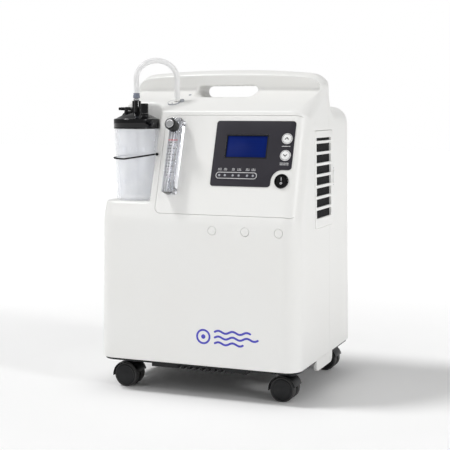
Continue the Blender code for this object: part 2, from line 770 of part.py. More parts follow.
def hose_route(count):
    """Points of the arching hose: straight up from the nut, over in a round arch, down to the outlet.

    The arch is an ellipse whose lower ends run on as straight stretches.
    """
    start = np.array([BOTTLE_X, BOTTLE_Y])
    end = np.array([NIPPLE_X, NIPPLE_Y])
    angles = np.linspace(0, math.pi, count)
    share = (1 - np.cos(angles)) / 2
    plan = start + share[:, None] * (end - start)
    heights = HOSE_SPRING + (HOSE_TOP - HOSE_SPRING) * np.sin(angles)
    arch = np.column_stack([plan, heights])
    left = [(start[0], start[1], z) for z in np.linspace(HOSE_START, HOSE_SPRING, 3, endpoint=False)]
    right = [(end[0], end[1], z) for z in np.linspace(HOSE_SPRING, HOSE_END, 4)[1:]]
    return np.vstack([left, arch, right])


def tube_along(name, route, radius, key, resolution):
    """A filled-cap tube along a row of points."""
    curve = bpy.data.curves.new(name, "CURVE")
    curve.dimensions = "3D"
    curve.bevel_depth = radius * MM
    curve.bevel_resolution = resolution
    curve.use_fill_caps = True
    spline = curve.splines.new("POLY")
    spline.points.add(len(route) - 1)
    for point, place in zip(spline.points, route):
        point.co = (*[float(c) * MM for c in place], 1.0)
    curve.materials.append(material(key, name))
    tube = bpy.data.objects.new(name, curve)
    bpy.context.collection.objects.link(tube)
    return tube


def hose_and_outlet():
    """The hose and the outlet fitting on the ledge."""
    tube_along("oxygen_hose", hose_route(15), HOSE_RADIUS, "silicone", 3)
    slope = Matrix.Rotation(math.atan(LEDGE_SLOPE), 4, "X")
    flange = lathe("outlet_flange", [(0, GAP), (11.5, GAP), (11.5, 1.8), (10.5, 2.4), (0, 2.4)], 32)
    bake_transform(flange, slope)
    at(flange, FLANGE_X, FLANGE_Y, ledge_z(FLANGE_Y))
    nipple = lathe("nipple", [(0, 541.4), (4.2, 541.4), (4.2, HOSE_END - GAP), (0, HOSE_END - GAP)], 20)
    at(nipple, NIPPLE_X, NIPPLE_Y, 0)
    join_all(flange, nipple)
    finish(flange, "white_abs")
    screw = lathe("ledge_screw", [(0, GAP), (4.3, GAP), (4.3, 3.4), (3.4, 4.2), (0, 4.2)], 20)
    bake_transform(screw, slope)
    at(screw, -71.0, -68.0, ledge_z(-68.0))
    finish(screw, "grey_abs")


def strap_route(count):
    """Elastic cord from the front knob, round the bottle's front and left, to the back wall."""
    front_y = FRONT_Y + LEAN_SLOPE * (STRAP_FRONT[1] - CREASE_Z)
    knob = np.array([STRAP_FRONT[0] - 3.0, front_y - 3.8])
    hook = np.array([STRAP_REAR[0], RECESS_Y - 3.4])
    centre = np.array([BOTTLE_X, BOTTLE_Y])

    def touch(point, side):
        away = point - centre
        reach = np.linalg.norm(away)
        return math.atan2(away[1], away[0]) + side * math.acos(STRAP_RING / reach)

    first = touch(knob, -1)
    last = touch(hook, 1) - 2 * math.pi
    angles = np.linspace(first, last, count)
    ring = centre + STRAP_RING * np.column_stack([np.cos(angles), np.sin(angles)])
    plan = np.vstack([knob, (knob + ring[0]) / 2, ring, (hook + ring[-1]) / 2, hook])
    steps = np.linalg.norm(np.diff(plan, axis=0), axis=1)
    share = np.concatenate([[0], np.cumsum(steps)]) / steps.sum()
    heights = np.interp(share, [0.0, 0.35, 0.7, 1.0], [443.5, 434.8, 436.0, 441.0])
    return np.column_stack([plan, heights])


def strap():
    """Bottle strap with its two anchors."""
    tube_along("jar_strap", strap_route(22), STRAP_RADIUS, "rubber", 2)
    front_y = FRONT_Y + LEAN_SLOPE * (STRAP_FRONT[1] - CREASE_Z)
    knob = lathe("strap_knob", [(0, -2.9), (2.0, -2.1), (2.9, 0), (2.0, 2.1), (0, 2.9)], 16)
    at(knob, STRAP_FRONT[0] + 0.6, front_y - 3.6, STRAP_FRONT[1])
    finish(knob, "rubber")
    hook = prism("strap_hook", disc_outline(3.0, 16, STRAP_REAR), RECESS_Y - 1.7, RECESS_Y - GAP, "Y")
    finish(hook, "rubber")


# ---------------------------------------------------------------- base and casters

def caster_places():
    """Name and wheel centre of each caster; the stems stand CASTER_TRAIL to the right of the wheels."""
    for end, y in (("front", CASTER_FRONT_Y), ("rear", CASTER_REAR_Y)):
        for side, x in (("left", -CASTER_X), ("right", CASTER_X)):
            yield f"{end}_{side}", x, y


def base():
    """Floor tray with the caster sockets, and the black vent under its front."""
    inner = HALF_WIDTH - WALL - 0.8
    outline = rounded_rectangle(-inner, inner, FRONT_Y + WALL + 0.8, REAR_Y - WALL - 0.8, 28.0, 28.0, 5)
    tray = prism("base_tray", outline, TRAY_BOTTOM, TRAY_TOP)
    for _, x, y in caster_places():
        centre = (x + CASTER_TRAIL, y)
        boolean(tray, prism("boss", disc_outline(13.0, 14, centre), TRAY_TOP - 2, SOCKET_TOP), "UNION")
        boolean(tray, prism("cutter", disc_outline(5.4, 12, centre), 50.0, 78.0))
    finish(tray, "black_abs")
    vent = box("base_vent", (-101.0, -146.0, 45.0), (89.0, -60.0, TRAY_BOTTOM - GAP))
    for i in range(8):
        x = -48.0 + i * 12.5
        boolean(vent, box("cutter", (x, -150.0, 40.0), (x + 7.0, -70.0, 52.0)))
    finish(vent, "black_abs")


def caster_hood(name):
    """Hood, web, axle and stem of a twin-wheel caster, drawn about the axle."""
    outer, inner, width = WHEEL_RADIUS + 3.4, WHEEL_RADIUS + 1.2, 20.0
    sweep = [math.radians(18 + (184 - 18) * i / 10) for i in range(11)]
    outline = [(outer * math.cos(a), outer * math.sin(a)) for a in sweep]
    outline += [(inner * math.cos(a), inner * math.sin(a)) for a in reversed(sweep)]
    hood = prism(name, outline, -width, width, "Y")
    web = prism("web", disc_outline(19.0, 18), -4.4, 4.4, "Y")
    rib = box("rib", (-9.0, -4.4, 10.0), (12.0, 4.4, outer - 1.2))
    axle = prism("axle", disc_outline(4.0, 10), -17.4, 17.4, "Y")
    neck = lathe("neck", [(0, 20.5), (10.0, 20.5), (10.0, 33.0), (0, 33.0)], 14)
    stem = lathe("stem", [(0, 31.0), (5.0, 31.0), (5.0, 53.0), (0, 53.0)], 12)
    for piece in (neck, stem):
        at(piece, CASTER_TRAIL, 0, 0)
    boolean(neck, prism("cutter", disc_outline(inner, 32), -30.0, 30.0, "Y"))
    return join_all(hood, web, rib, axle, neck, stem)


def caster_wheel(name, side):
    """One wheel with a blind bore on the axle; side is the direction that its cap faces."""
    wheel = lathe(name, [
        (4.5, 5.2), (WHEEL_RADIUS - 1.5, 5.2), (WHEEL_RADIUS, 6.4), (WHEEL_RADIUS, 17.6),
        (WHEEL_RADIUS - 1.6, 19.2), (0, 19.6), (0, 18.0), (4.5, 18.0),
    ], 24)
    turn = Matrix.Rotation(math.radians(-90.0 * side), 4, "X")
    return bake_transform(wheel, turn)


def casters():
    """Four twin-wheel casters."""
    for place, x, y in caster_places():
        hood = caster_hood(f"caster_hood_{place}")
        at(hood, x, y, WHEEL_RADIUS)
        finish(hood, "black_abs")
        set_origin(hood, (x + CASTER_TRAIL, y, WHEEL_RADIUS))
        for label, side in (("a", -1), ("b", 1)):
            wheel = caster_wheel(f"caster_wheel_{place}_{label}", side)
            at(wheel, x, y, WHEEL_RADIUS)
            finish(wheel, "black_abs")
            set_origin(wheel, (x, y, WHEEL_RADIUS))


# ---------------------------------------------------------------- inside and rear

def power_inlet():
    """Mains inlet with its shrouded pins on the rear wall."""
    x, z = INLET_PLACE
    body = box("power_inlet", (x - 24.0, 152.0, z - 14.0), (x + 24.0, 176.4, z + 14.0))
    boolean(body, box("cutter", (x - 12.5, 158.0, z - 8.5), (x + 12.5, 190.0, z + 8.5)))
    for dx, dz in ((-7.0, -1.5), (0.0, 2.5), (7.0, -1.5)):
        pin = box("pin", (x + dx - 1.0, 156.0, z + dz - 2.0), (x + dx + 1.0, 172.0, z + dz + 2.0))
        boolean(body, pin, "UNION")
    finish(body, "black_abs")


def upright_cylinder(name, x, y, radius, low, high, key, segments=28):
    """A plain standing cylinder."""
    finish(prism(name, disc_outline(radius, segments, (x, y)), low, high), key)


def chassis():
    """Sheet-metal bridge over the compressor, with a hole for the fan."""
    deck = box("chassis_frame", (-85.0, -110.0, DECK_Z), (172.0, 110.0, DECK_Z + 2.0))
    for x in (-85.0, 170.0):
        boolean(deck, box("wall", (x, -110.0, FLOOR), (x + 2.0, 110.0, DECK_Z + 1.0)), "UNION")
    boolean(deck, prism("cutter", disc_outline(54.0, 36, (FAN_X, FAN_Y)), 250.0, 280.0))
    finish(deck, "steel")


def compressor():
    """Twin-head compressor on the tray."""
    body = prism("compressor", disc_outline(46.0, 28, (0.0, 125.0)), -30.0, 120.0, "X")
    for x in (-58.0, 112.0):
        boolean(body, box("head", (x, -34.0, 90.0), (x + 36.0, 34.0, 190.0)), "UNION")
    boolean(body, box("foot", (-20.0, -40.0, FLOOR), (110.0, 40.0, 95.0)), "UNION")
    finish(body, "aluminium")


def fan():
    """Cooling fan under the deck: square frame with a spoked hub, and its rotor."""
    top = DECK_Z - GAP
    frame = box("fan_frame", (FAN_X - 60, FAN_Y - 60, top - 25), (FAN_X + 60, FAN_Y + 60, top))
    boolean(frame, prism("cutter", disc_outline(56.5, 36, (FAN_X, FAN_Y)), top - 30, top + 5))
    boolean(frame, prism("hub", disc_outline(16.0, 20, (FAN_X, FAN_Y)), top - 25, top - 22), "UNION")
    for dx, dy in ((59.0, 1.5), (1.5, 59.0)):
        arm = box("arm", (FAN_X - dx, FAN_Y - dy, top - 25), (FAN_X + dx, FAN_Y + dy, top - 22))
        boolean(frame, arm, "UNION")
    finish(frame, "black_abs")
    rotor = prism("fan_rotor", disc_outline(20.0, 24, (FAN_X, FAN_Y)), top - 21, top - 3)
    for i in range(7):
        blade = box("blade", (15.0, -9.0, -1.0), (54.5, 9.0, 1.0))
        pitch = Matrix.Rotation(math.radians(32.0), 4, "X")
        turn = Matrix.Rotation(2 * math.pi * i / 7, 4, "Z")
        bake_transform(blade, Matrix.Translation(Vector((FAN_X, FAN_Y, top - 12))) @ turn @ pitch)
        boolean(rotor, blade, "UNION")
    finish(rotor, "black_abs")
    set_origin(rotor, (FAN_X, FAN_Y, top - 12))


def control_board():
    """Circuit board on four pillars behind the display."""
    board = panel_box("control_board", 24.0, 172.0, 64.0, 190.0, -22.0, -20.4)
    for x in (28.0, 140.0):
        for along in (68.0, 184.0):
            boolean(board, panel_cylinder("pillar", x, along, 3.0, -21.0, -WALL - GAP, 12), "UNION")
    finish(board, "circuit")


def gas_train():
    """Sieve towers, product tank, valve manifold and intake silencer."""
    upright_cylinder("sieve_tower_1", -138.0, 52.0, 34.0, FLOOR, 420.0, "aluminium")
    upright_cylinder("sieve_tower_2", -138.0, 126.0, 34.0, SOCKET_TOP + GAP, 420.0, "aluminium")
    upright_cylinder("product_tank", -40.0, 142.0, 26.0, FLOOR, 300.0, "aluminium")
    finish(box("valve_manifold", (-168.0, 28.0, 420.3), (-108.0, 150.0, 452.0)), "aluminium")
    upright_cylinder("intake_silencer", 130.0, 70.0, 26.0, DECK_Z + 2.3, 350.0, "black_abs")


def centre_in_depth():
    """Shift everything back so that the origin is under the middle of the whole outline.

    The flowmeter stands out in front of the cabinet, so the outline's middle is ahead of the cabinet's.
    """
    foremost = panel_point(FLOW_LEFT, FLOW_DEPTH, FLOW_BOTTOM_S)[1]
    shift = -(foremost + REAR_Y) / 2
    for obj in bpy.data.objects:
        obj.location.y += shift * MM


def main():
    """Build the whole object."""
    clear_scene()
    shells_and_fascia()
    display_overlay()
    keys()
    mains_switch()
    flowmeter()
    front_plugs()
    filter_door()
    exhaust_cover()
    bottle()
    bottle_lid()
    hose_and_outlet()
    strap()
    base()
    casters()
    power_inlet()
    chassis()
    compressor()
    fan()
    control_board()
    gas_train()
    centre_in_depth()


main()
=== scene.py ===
"""Oxygen concentrator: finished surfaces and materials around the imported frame.

Lengths are in millimetres while a shape is worked out, and become metres when its mesh is made.
"""

import math

import bmesh
import bpy
import numpy as np
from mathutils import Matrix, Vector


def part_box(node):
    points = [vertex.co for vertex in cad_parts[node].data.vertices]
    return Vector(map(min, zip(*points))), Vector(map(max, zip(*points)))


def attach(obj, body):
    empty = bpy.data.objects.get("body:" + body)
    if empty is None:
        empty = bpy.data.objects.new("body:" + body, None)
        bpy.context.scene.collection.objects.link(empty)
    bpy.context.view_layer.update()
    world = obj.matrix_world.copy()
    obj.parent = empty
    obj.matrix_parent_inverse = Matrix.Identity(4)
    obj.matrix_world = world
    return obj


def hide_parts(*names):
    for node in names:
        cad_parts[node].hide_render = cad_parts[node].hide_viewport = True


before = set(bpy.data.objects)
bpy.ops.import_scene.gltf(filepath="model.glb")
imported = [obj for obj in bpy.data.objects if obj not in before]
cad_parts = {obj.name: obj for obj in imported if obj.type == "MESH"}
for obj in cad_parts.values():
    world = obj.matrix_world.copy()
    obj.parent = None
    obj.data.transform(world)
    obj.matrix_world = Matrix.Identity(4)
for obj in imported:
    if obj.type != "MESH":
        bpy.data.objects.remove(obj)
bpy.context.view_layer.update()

bl_info = {
    "name": "Oxygen Concentrator",
    "version": (1, 0, 0),
    "blender": (4, 5, 0),
    "location": "3D View > Sidebar > Concentrator",
    "description": "Builds a bedside oxygen concentrator around its packed frame",
    "category": "Object",
}

MM = 0.001


# ------------------------------------------------------------------ places taken from the frame

def span(node):
    """Lowest and highest corner of a frame node, in millimetres."""
    low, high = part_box(node)
    return np.array(low) / MM, np.array(high) / MM


def middle(node):
    """Centre of a frame node's box, in millimetres."""
    low, high = span(node)
    return (low + high) / 2


# The cabinet in its own millimetres: half its width and depth, its foot, the crease where its front
# begins to lean back, that lean, the draft and round corner of its sides, the ledge, the seam between
# its halves and the bottle's recess. It stands SHIFT_Y further back in the frame.
HALF_WIDTH = 198.0
HALF_DEPTH = 177.5
SHELL_BOTTOM = 61.5
CREASE_Z = 326.0
LEAN = math.atan(0.335)
SIDE_DRAFT = 0.015
CORNER = 30.0
LEDGE_Y, LEDGE_Z = -111.2, 524.0
LEDGE_SLOPE = 0.39
SHIFT_Y = span("rear_shell")[1][1] - HALF_DEPTH
SEAM_Y = 21.0
RECESS_X, RECESS_Y, RECESS_FLOOR = -94.5, -73.0, 357.0


def panel(points):
    """Points given as (X, distance up the slope, distance out of it) turned into the row's frame."""
    x, along, out = np.moveaxis(np.asarray(points, float), -1, 0)
    y = -HALF_DEPTH + SHIFT_Y + along * math.sin(LEAN) - out * math.cos(LEAN)
    z = CREASE_Z + along * math.cos(LEAN) + out * math.sin(LEAN)
    return np.stack([x, y, z], -1)


def side_wall(points, sign):
    """Points given as (distance back, height, distance out) laid on the right (+1) or left (-1) wall.

    The wall leans in by SIDE_DRAFT for each millimetre of height.
    """
    back, up, out = np.moveaxis(np.asarray(points, float), -1, 0)
    x = HALF_WIDTH - SIDE_DRAFT * (up - SHELL_BOTTOM) + out
    return np.stack([sign * x, back + SHIFT_Y, up + SIDE_DRAFT * out], -1)


def right_wall(points):
    """Points laid on the right wall."""
    return side_wall(points, 1)


def left_wall(points):
    """Points laid on the left wall."""
    return side_wall(points, -1)


def on_ledge(points, centre_x, centre_y):
    """Points about a local origin set on the sloping ledge, with their Z square to it."""
    x, y, z = np.moveaxis(np.asarray(points, float), -1, 0)
    turn = math.atan(LEDGE_SLOPE)
    base = LEDGE_Z + LEDGE_SLOPE * (centre_y - LEDGE_Y)
    return np.stack([
        x + centre_x,
        y * math.cos(turn) - z * math.sin(turn) + centre_y + SHIFT_Y,
        y * math.sin(turn) + z * math.cos(turn) + base,
    ], -1)


# ------------------------------------------------------------------ surfaces as whole arrays

def surface(points, wrap_u=False, wrap_v=False):
    """Quads over a grid of points P[u, v], closed on itself along u or v where asked."""
    rows, columns = points.shape[:2]
    index = np.arange(rows * columns).reshape(rows, columns)
    if wrap_u:
        index = np.vstack([index, index[:1]])
    if wrap_v:
        index = np.hstack([index, index[:, :1]])
    quads = np.stack([index[:-1, :-1], index[1:, :-1], index[1:, 1:], index[:-1, 1:]], -1)
    return points.reshape(-1, 3), quads.reshape(-1, 4).tolist()


def capped(points):
    """A tube P[u, v], closed round v, with one flat face over each end."""
    verts, faces = surface(points, wrap_v=True)
    rows, columns = points.shape[:2]
    faces.append(list(range(columns)))
    faces.append([(rows - 1) * columns + i for i in range(columns)][::-1])
    return verts, faces


def merged(*parts):
    """Several (points, faces) pairs as one."""
    verts, faces, count = [], [], 0
    for points, polygons in parts:
        points = np.asarray(points, float).reshape(-1, 3)
        verts.append(points)
        faces += [[i + count for i in polygon] for polygon in polygons]
        count += len(points)
    return np.vstack(verts), faces


def moved(part, change):
    """The same faces with their points passed through a function."""
    return change(part[0]), part[1]


def turned(profile, steps=48, flute=0.0, flutes=0):
    """A profile of (radius, height) carried round Z: P = (r cos a, r sin a, h).

    The radius may swell and shrink by flute in a cosine with the given number of flutes. Radius 0 at an
    end closes on the axis, and a profile with both ends off the axis closes on itself.
    """
    profile = np.array(profile, float)
    angle = np.arange(steps) * 2 * math.pi / steps
    ripple = 1.0 + flute * np.cos(flutes * angle)
    radius = profile[:, :1] * ripple[None, :]
    height = np.repeat(profile[:, 1:], steps, axis=1)
    points = np.stack([radius * np.cos(angle), radius * np.sin(angle), height], -1)
    return surface(points, wrap_u=profile[0, 0] > 0 and profile[-1, 0] > 0, wrap_v=True)


def along_minus_x(points):
    """Turn a shape about Z so that its axis points along -X: (x, y, z) becomes (-z, y, x)."""
    x, y, z = np.moveaxis(points, -1, 0)
    return np.stack([-z, y, x], -1)


def along_y(points):
    """Turn a shape about Z so that its axis points along +Y: (x, y, z) becomes (x, z, -y)."""
    x, y, z = np.moveaxis(points, -1, 0)
    return np.stack([x, z, -y], -1)


def shift(points, offset):
    """Move points by an offset."""
    return points + np.asarray(offset, float)


def arc(centre, radius, start, stop, steps):
    """Points on a circular arc, angles in degrees."""
    angle = np.radians(np.linspace(start, stop, steps))
    return np.stack([centre[0] + radius * np.cos(angle), centre[1] + radius * np.sin(angle)], -1)


def rounded(corners, steps=8):
    """An outline through corners (x, y, radius), each corner replaced by a tangent arc."""
    corners = np.array(corners, float)
    outline = []
    for before, here, after in zip(np.roll(corners, 1, 0), corners, np.roll(corners, -1, 0)):
        if here[2] <= 0:
            outline.append(here[None, :2])
            continue
        to_before = (before - here)[:2] / np.linalg.norm((before - here)[:2])
        to_after = (after - here)[:2] / np.linalg.norm((after - here)[:2])
        half = math.acos(float(np.clip(to_before @ to_after, -1, 1))) / 2
        reach = here[2] / math.tan(half)
        bisector = (to_before + to_after) / np.linalg.norm(to_before + to_after)
        centre = here[:2] + bisector * here[2] / math.sin(half)
        first = here[:2] + to_before * reach - centre
        last = here[:2] + to_after * reach - centre
        start = math.atan2(first[1], first[0])
        sweep = (math.atan2(last[1], last[0]) - start + math.pi) % (2 * math.pi) - math.pi
        outline.append(arc(centre, here[2], math.degrees(start), math.degrees(start + sweep), steps))
    return np.vstack(outline)


def box_outline(x0, x1, y0, y1, radius, steps=6):
    """A rectangle with round corners."""
    return rounded([(x0, y0, radius), (x1, y0, radius), (x1, y1, radius), (x0, y1, radius)], steps)


def unit(vectors):
    """Each row divided by its length."""
    return vectors / np.maximum(np.linalg.norm(vectors, axis=1, keepdims=True), 1e-9)


def offset_outline(outline, distance):
    """A closed outline moved inwards by distance along its mean normals; it runs anticlockwise."""
    before = unit(outline - np.roll(outline, 1, 0))
    after = unit(np.roll(outline, -1, 0) - outline)
    mean = unit(before + after)
    normal = np.stack([-mean[:, 1], mean[:, 0]], -1)
    reach = np.clip(np.sum(before * mean, axis=1), 0.5, 1.0)
    return outline + normal * (distance / reach)[:, None]


def plate(outline, low, high, edge=0.4, foot=0.0, steps=4):
    """A slab between two heights whose outline runs anticlockwise, with a quarter-round top edge.

    Each ring is the outline moved in by edge * (1 - cos t) while it rises by edge * sin t. foot rounds
    the lower edge in the same way.
    """
    turn = np.linspace(0, math.pi / 2, steps)
    rings = []
    if foot:
        rings += [(foot * (1 - math.sin(t)), low + foot * (1 - math.cos(t))) for t in turn[:-1]]
    else:
        rings.append((0.0, low))
    rings += [(edge * (1 - math.cos(t)), high - edge + edge * math.sin(t)) for t in turn]
    points = np.stack([
        np.column_stack([offset_outline(outline, inwards), np.full(len(outline), height)])
        for inwards, height in rings
    ])
    verts, faces = capped(points)
    return verts, [face[::-1] for face in faces]


def frames_along(path):
    """Tangents and two cross directions along a path, turned as little as possible between points."""
    tangent = unit(np.gradient(path, axis=0))
    first = np.cross(tangent[0], [0.0, 0.3, 1.0])
    if np.linalg.norm(first) < 1e-3:
        first = np.cross(tangent[0], [1.0, 0.0, 0.0])
    sides = [first / np.linalg.norm(first)]
    for direction in tangent[1:]:
        side = sides[-1] - direction * (sides[-1] @ direction)
        sides.append(side / np.linalg.norm(side))
    sides = np.array(sides)
    return tangent, sides, np.cross(tangent, sides)


def swept(path, radius, steps=20):
    """A round section carried along a path: P = path + r (cos a side + sin a up), radius per point."""
    _, side, up = frames_along(path)
    angle = np.arange(steps) * 2 * math.pi / steps
    radius = np.broadcast_to(np.asarray(radius, float), (len(path),))[:, None, None]
    ring = np.cos(angle)[None, :, None] * side[:, None] + np.sin(angle)[None, :, None] * up[:, None]
    return path[:, None] + radius * ring


def smooth_path(points, count):
    """A Catmull-Rom curve through points, sampled evenly by length."""
    points = np.asarray(points, float)
    padded = np.vstack([2 * points[0] - points[1], points, 2 * points[-1] - points[-2]])
    t = np.linspace(0, 1, 24, endpoint=False)[:, None]
    stretches = []
    for a, b, c, d in zip(padded, padded[1:], padded[2:], padded[3:]):
        stretches.append(0.5 * (
            2 * b + (c - a) * t + (2 * a - 5 * b + 4 * c - d) * t ** 2 + (3 * b - a - 3 * c + d) * t ** 3
        ))
    dense = np.vstack(stretches + [points[-1:]])
    length = np.concatenate([[0], np.cumsum(np.linalg.norm(np.diff(dense, axis=0), axis=1))])
    where = np.linspace(0, length[-1], count)
    return np.stack([np.interp(where, length, dense[:, k]) for k in range(3)], -1)


def run_length(path):
    """Length along a path."""
    return float(np.linalg.norm(np.diff(path, axis=0), axis=1).sum())


def points_of(mesh):
    """The places of a mesh's vertices, in millimetres."""
    points = np.empty(len(mesh.vertices) * 3)
    mesh.vertices.foreach_get("co", points)
    return points.reshape(-1, 3) / MM


def make_mesh(name, part):
    """A mesh in metres from a (points, faces) pair in millimetres, poles and seams welded."""
    mesh = bpy.data.meshes.new(name)
    mesh.from_pydata((np.asarray(part[0]) * MM).tolist(), [], part[1])
    weld(mesh)
    return mesh


def weld(mesh, distance=1e-6):
    """Merge points that coincide, and drop the faces that this leaves without an area."""
    shape = bmesh.new()
    shape.from_mesh(mesh)
    bmesh.ops.remove_doubles(shape, verts=shape.verts, dist=distance)
    bmesh.ops.dissolve_degenerate(shape, edges=shape.edges, dist=distance)
    bmesh.ops.recalc_face_normals(shape, faces=shape.faces)
    shape.to_mesh(mesh)
    shape.free()


def place_piece(name, part, body, material, replaced=(), sharp=35.0):
    """Put a finished piece in the scene: mesh, finish, the body it rides on and what it stands for."""
    mesh = part if isinstance(part, bpy.types.Mesh) else make_mesh(name, part)
    obj = bpy.data.objects.new(name, mesh)
    bpy.context.scene.collection.objects.link(obj)
    mesh.name = name
    mesh.materials.clear()
    for one in material if isinstance(material, (list, tuple)) else [material]:
        mesh.materials.append(one)
    mesh.shade_smooth()
    mesh.set_sharp_from_angle(angle=math.radians(sharp))
    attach(obj, body)
    if replaced:
        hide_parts(*([replaced] if isinstance(replaced, str) else replaced))
    return obj


def cut(mesh, cutter, operation="DIFFERENCE"):
    """The mesh left after an exact Boolean with another mesh."""
    made = []
    for data in (mesh, cutter):
        obj = bpy.data.objects.new("cutting", data)
        bpy.context.scene.collection.objects.link(obj)
        made.append(obj)
    step = made[0].modifiers.new("step", "BOOLEAN")
    step.operation = operation
    step.object = made[1]
    step.solver = "EXACT"
    graph = bpy.context.evaluated_depsgraph_get()
    result = bpy.data.meshes.new_from_object(made[0].evaluated_get(graph))
    for obj in made:
        bpy.data.objects.remove(obj)
    return result


def joined(*meshes):
    """Meshes united one after another into a single closed shape."""
    whole = meshes[0]
    for mesh in meshes[1:]:
        whole = cut(whole, mesh, "UNION")
    return whole


# ------------------------------------------------------------------ the cabinet as a distance field

def polygon_distance(outline, u, v):
    """Signed distance from points (u, v) to a closed outline, negative inside.

    It is the least distance to any side, with its sign from the number of sides crossed by a ray.
    """
    nearest = np.full(u.shape, 1e12)
    inside = np.zeros(u.shape, bool)
    for (ax, ay), (bx, by) in zip(outline, np.roll(outline, -1, 0)):
        ex, ey = bx - ax, by - ay
        wx, wy = u - ax, v - ay
        share = np.clip((wx * ex + wy * ey) / (ex * ex + ey * ey), 0, 1)
        nearest = np.minimum(nearest, (wx - ex * share) ** 2 + (wy - ey * share) ** 2)
        if ay != by:
            crosses = ((ay <= v) != (by <= v)) & (wx < ex * wy / ey)
            inside ^= crosses
    return np.sqrt(nearest) * np.where(inside, -1, 1)


def round_max(a, b, radius):
    """Intersection of two distance fields with a fillet of that radius along their meeting edge."""
    u, v = np.maximum(a + radius, 0), np.maximum(b + radius, 0)
    return np.minimum(-radius, np.maximum(a, b)) + np.hypot(u, v)


CABINET_PROFILE = rounded([
    (-177.5, 0.0, 0), (178.0, 0.0, 0), (174.6, 531.2, 34), (51.0, 531.2, 24), (42.0, 600.0, 15),
    (-2.0, 600.5, 22), (-25.0, 591.0, 8), (-42.0, 560.5, 22), (LEDGE_Y, LEDGE_Z, 7),
    (-177.5, CREASE_Z, 60),
], 9)
SCOOP_PROFILE = rounded([
    (-150.0, 508.9, 0), (-11.0, 563.1, 7), (-21.0, 590.0, 0), (-21.0, 660.0, 0), (-150.0, 660.0, 0),
], 7)
# The scoop's floor rises towards the handle at this angle, in degrees.
SCOOP_TILT = 21.3


def cabinet(x, y, z):
    """Distance field of the whole cabinet, in its own millimetres.

    A side profile and the two drafted side planes meet in a round corner. The scoop before the handle,
    the bottle recess and the hand hole are then cut away, each with its own edge radius, and the low
    side skirts are added.
    """
    across = np.abs(x)
    crown = 7.5 * (across / 170.0) ** 2.4 * np.clip((z - 540.0) / 45.0, 0, 1)
    body = polygon_distance(CABINET_PROFILE, y, z + crown)
    body = round_max(body, across - (HALF_WIDTH - SIDE_DRAFT * (z - SHELL_BOTTOM)), CORNER)
    body = round_max(body, SHELL_BOTTOM - z, 3.0)
    painted_glow = polygon_distance(SCOOP_PROFILE, y, z + 0.5 * crown)
    front_view = np.hypot(np.maximum(across - 144.0, 0), np.maximum(np.abs(z - 565.0) - 4.0, 0)) - 42.0
    body = round_max(body, -round_max(painted_glow, front_view, 7.0), 3.2)
    recess = round_max(round_max(x - RECESS_X, y - RECESS_Y, 46.0), RECESS_FLOOR - z, 4.0)
    body = round_max(body, -recess, 4.5)
    hole = np.hypot(np.maximum(across - 51.0, 0), z - 560.0) - 11.0
    body = round_max(body, -hole, 3.5)
    skirt_u = np.abs(y + 9.5) - 50.5
    skirt = round_max(skirt_u, np.abs(z - 62.0) - 22.0, 12.0)
    skirt = round_max(skirt, np.abs(across - 193.4) - 4.0, 2.0)
    return np.minimum(body, skirt)


def steps_between(*stretches):
    """Grid positions over several stretches (start, stop, spacing)."""
    coarse = 1.0
    parts = [
        np.linspace(a, b, max(2, int(round((b - a) / (spacing * coarse))) + 1))[:-1]
        for a, b, spacing in stretches
    ]
    return np.concatenate(parts + [[stretches[-1][1]]])


def contour(field, xs, ys, zs):
    """Closed quad mesh of a field's zero level on a rectangular grid.

    Each cell that the level crosses gets one point, the mean of its edge crossings, and each crossed
    grid edge joins the four cells around it. The points are then slid down the gradient onto the level.
    """
    grid = np.meshgrid(xs, ys, zs, indexing="ij")
    value = np.concatenate([field(*[axis[i:i + 8] for axis in grid]) for i in range(0, len(xs), 8)])
    shape = np.array(value.shape) - 1
    total = np.zeros((*shape, 3), np.float32)
    count = np.zeros(shape, np.float32)
    quads = []
    crossings = []
    for axis in range(3):
        low = np.take(value, range(value.shape[axis] - 1), axis)
        high = np.take(value, range(1, value.shape[axis]), axis)
        crossed = (low < 0) != (high < 0)
        where = np.argwhere(crossed)
        share = low[crossed] / (low[crossed] - high[crossed])
        place = np.stack([g[tuple(where.T)] for g in grid], -1).astype(np.float64)
        ends = (xs, ys, zs)[axis]
        place[:, axis] += share * (ends[where[:, axis] + 1] - ends[where[:, axis]])
        crossings.append((where, low[crossed] < 0))
        others = [k for k in range(3) if k != axis]
        for du in (0, 1):
            for dv in (0, 1):
                cell = where.copy()
                cell[:, others[0]] -= du
                cell[:, others[1]] -= dv
                np.add.at(total, tuple(cell.T), place)
                np.add.at(count, tuple(cell.T), 1)
    active = count > 0
    index = np.full(shape, -1)
    index[active] = np.arange(active.sum())
    points = (total[active] / count[active][:, None]).astype(np.float64)
    for axis, (where, rising) in enumerate(crossings):
        u, v = [k for k in range(3) if k != axis]
        ring = []
        for du, dv in ((0, 0), (1, 0), (1, 1), (0, 1)):
            cell = where.copy()
            cell[:, u] -= du
            cell[:, v] -= dv
            ring.append(index[tuple(cell.T)])
        ring = np.stack(ring, -1)
        flip = rising if axis != 1 else ~rising
        ring[flip] = ring[flip][:, ::-1]
        quads.append(ring)
    for _ in range(4):
        here = field(*points.T)
        slope = np.stack([
            field(*(points + delta).T) - field(*(points - delta).T)
            for delta in np.eye(3) * 0.05
        ], -1) / 0.1
        step = here / np.maximum(np.sum(slope ** 2, axis=1), 0.2)
        points -= slope * np.clip(step, -1.0, 1.0)[:, None]
    return points, np.vstack(quads).tolist()


# ------------------------------------------------------------------ materials

def linear(code):
    """Scene-linear colour of an sRGB hex value."""
    channels = np.array([int(code[i:i + 2], 16) for i in (1, 3, 5)]) / 255
    bent = ((channels + 0.055) / 1.055) ** 2.4
    return (*np.where(channels <= 0.04045, channels / 12.92, bent).tolist(), 1.0)


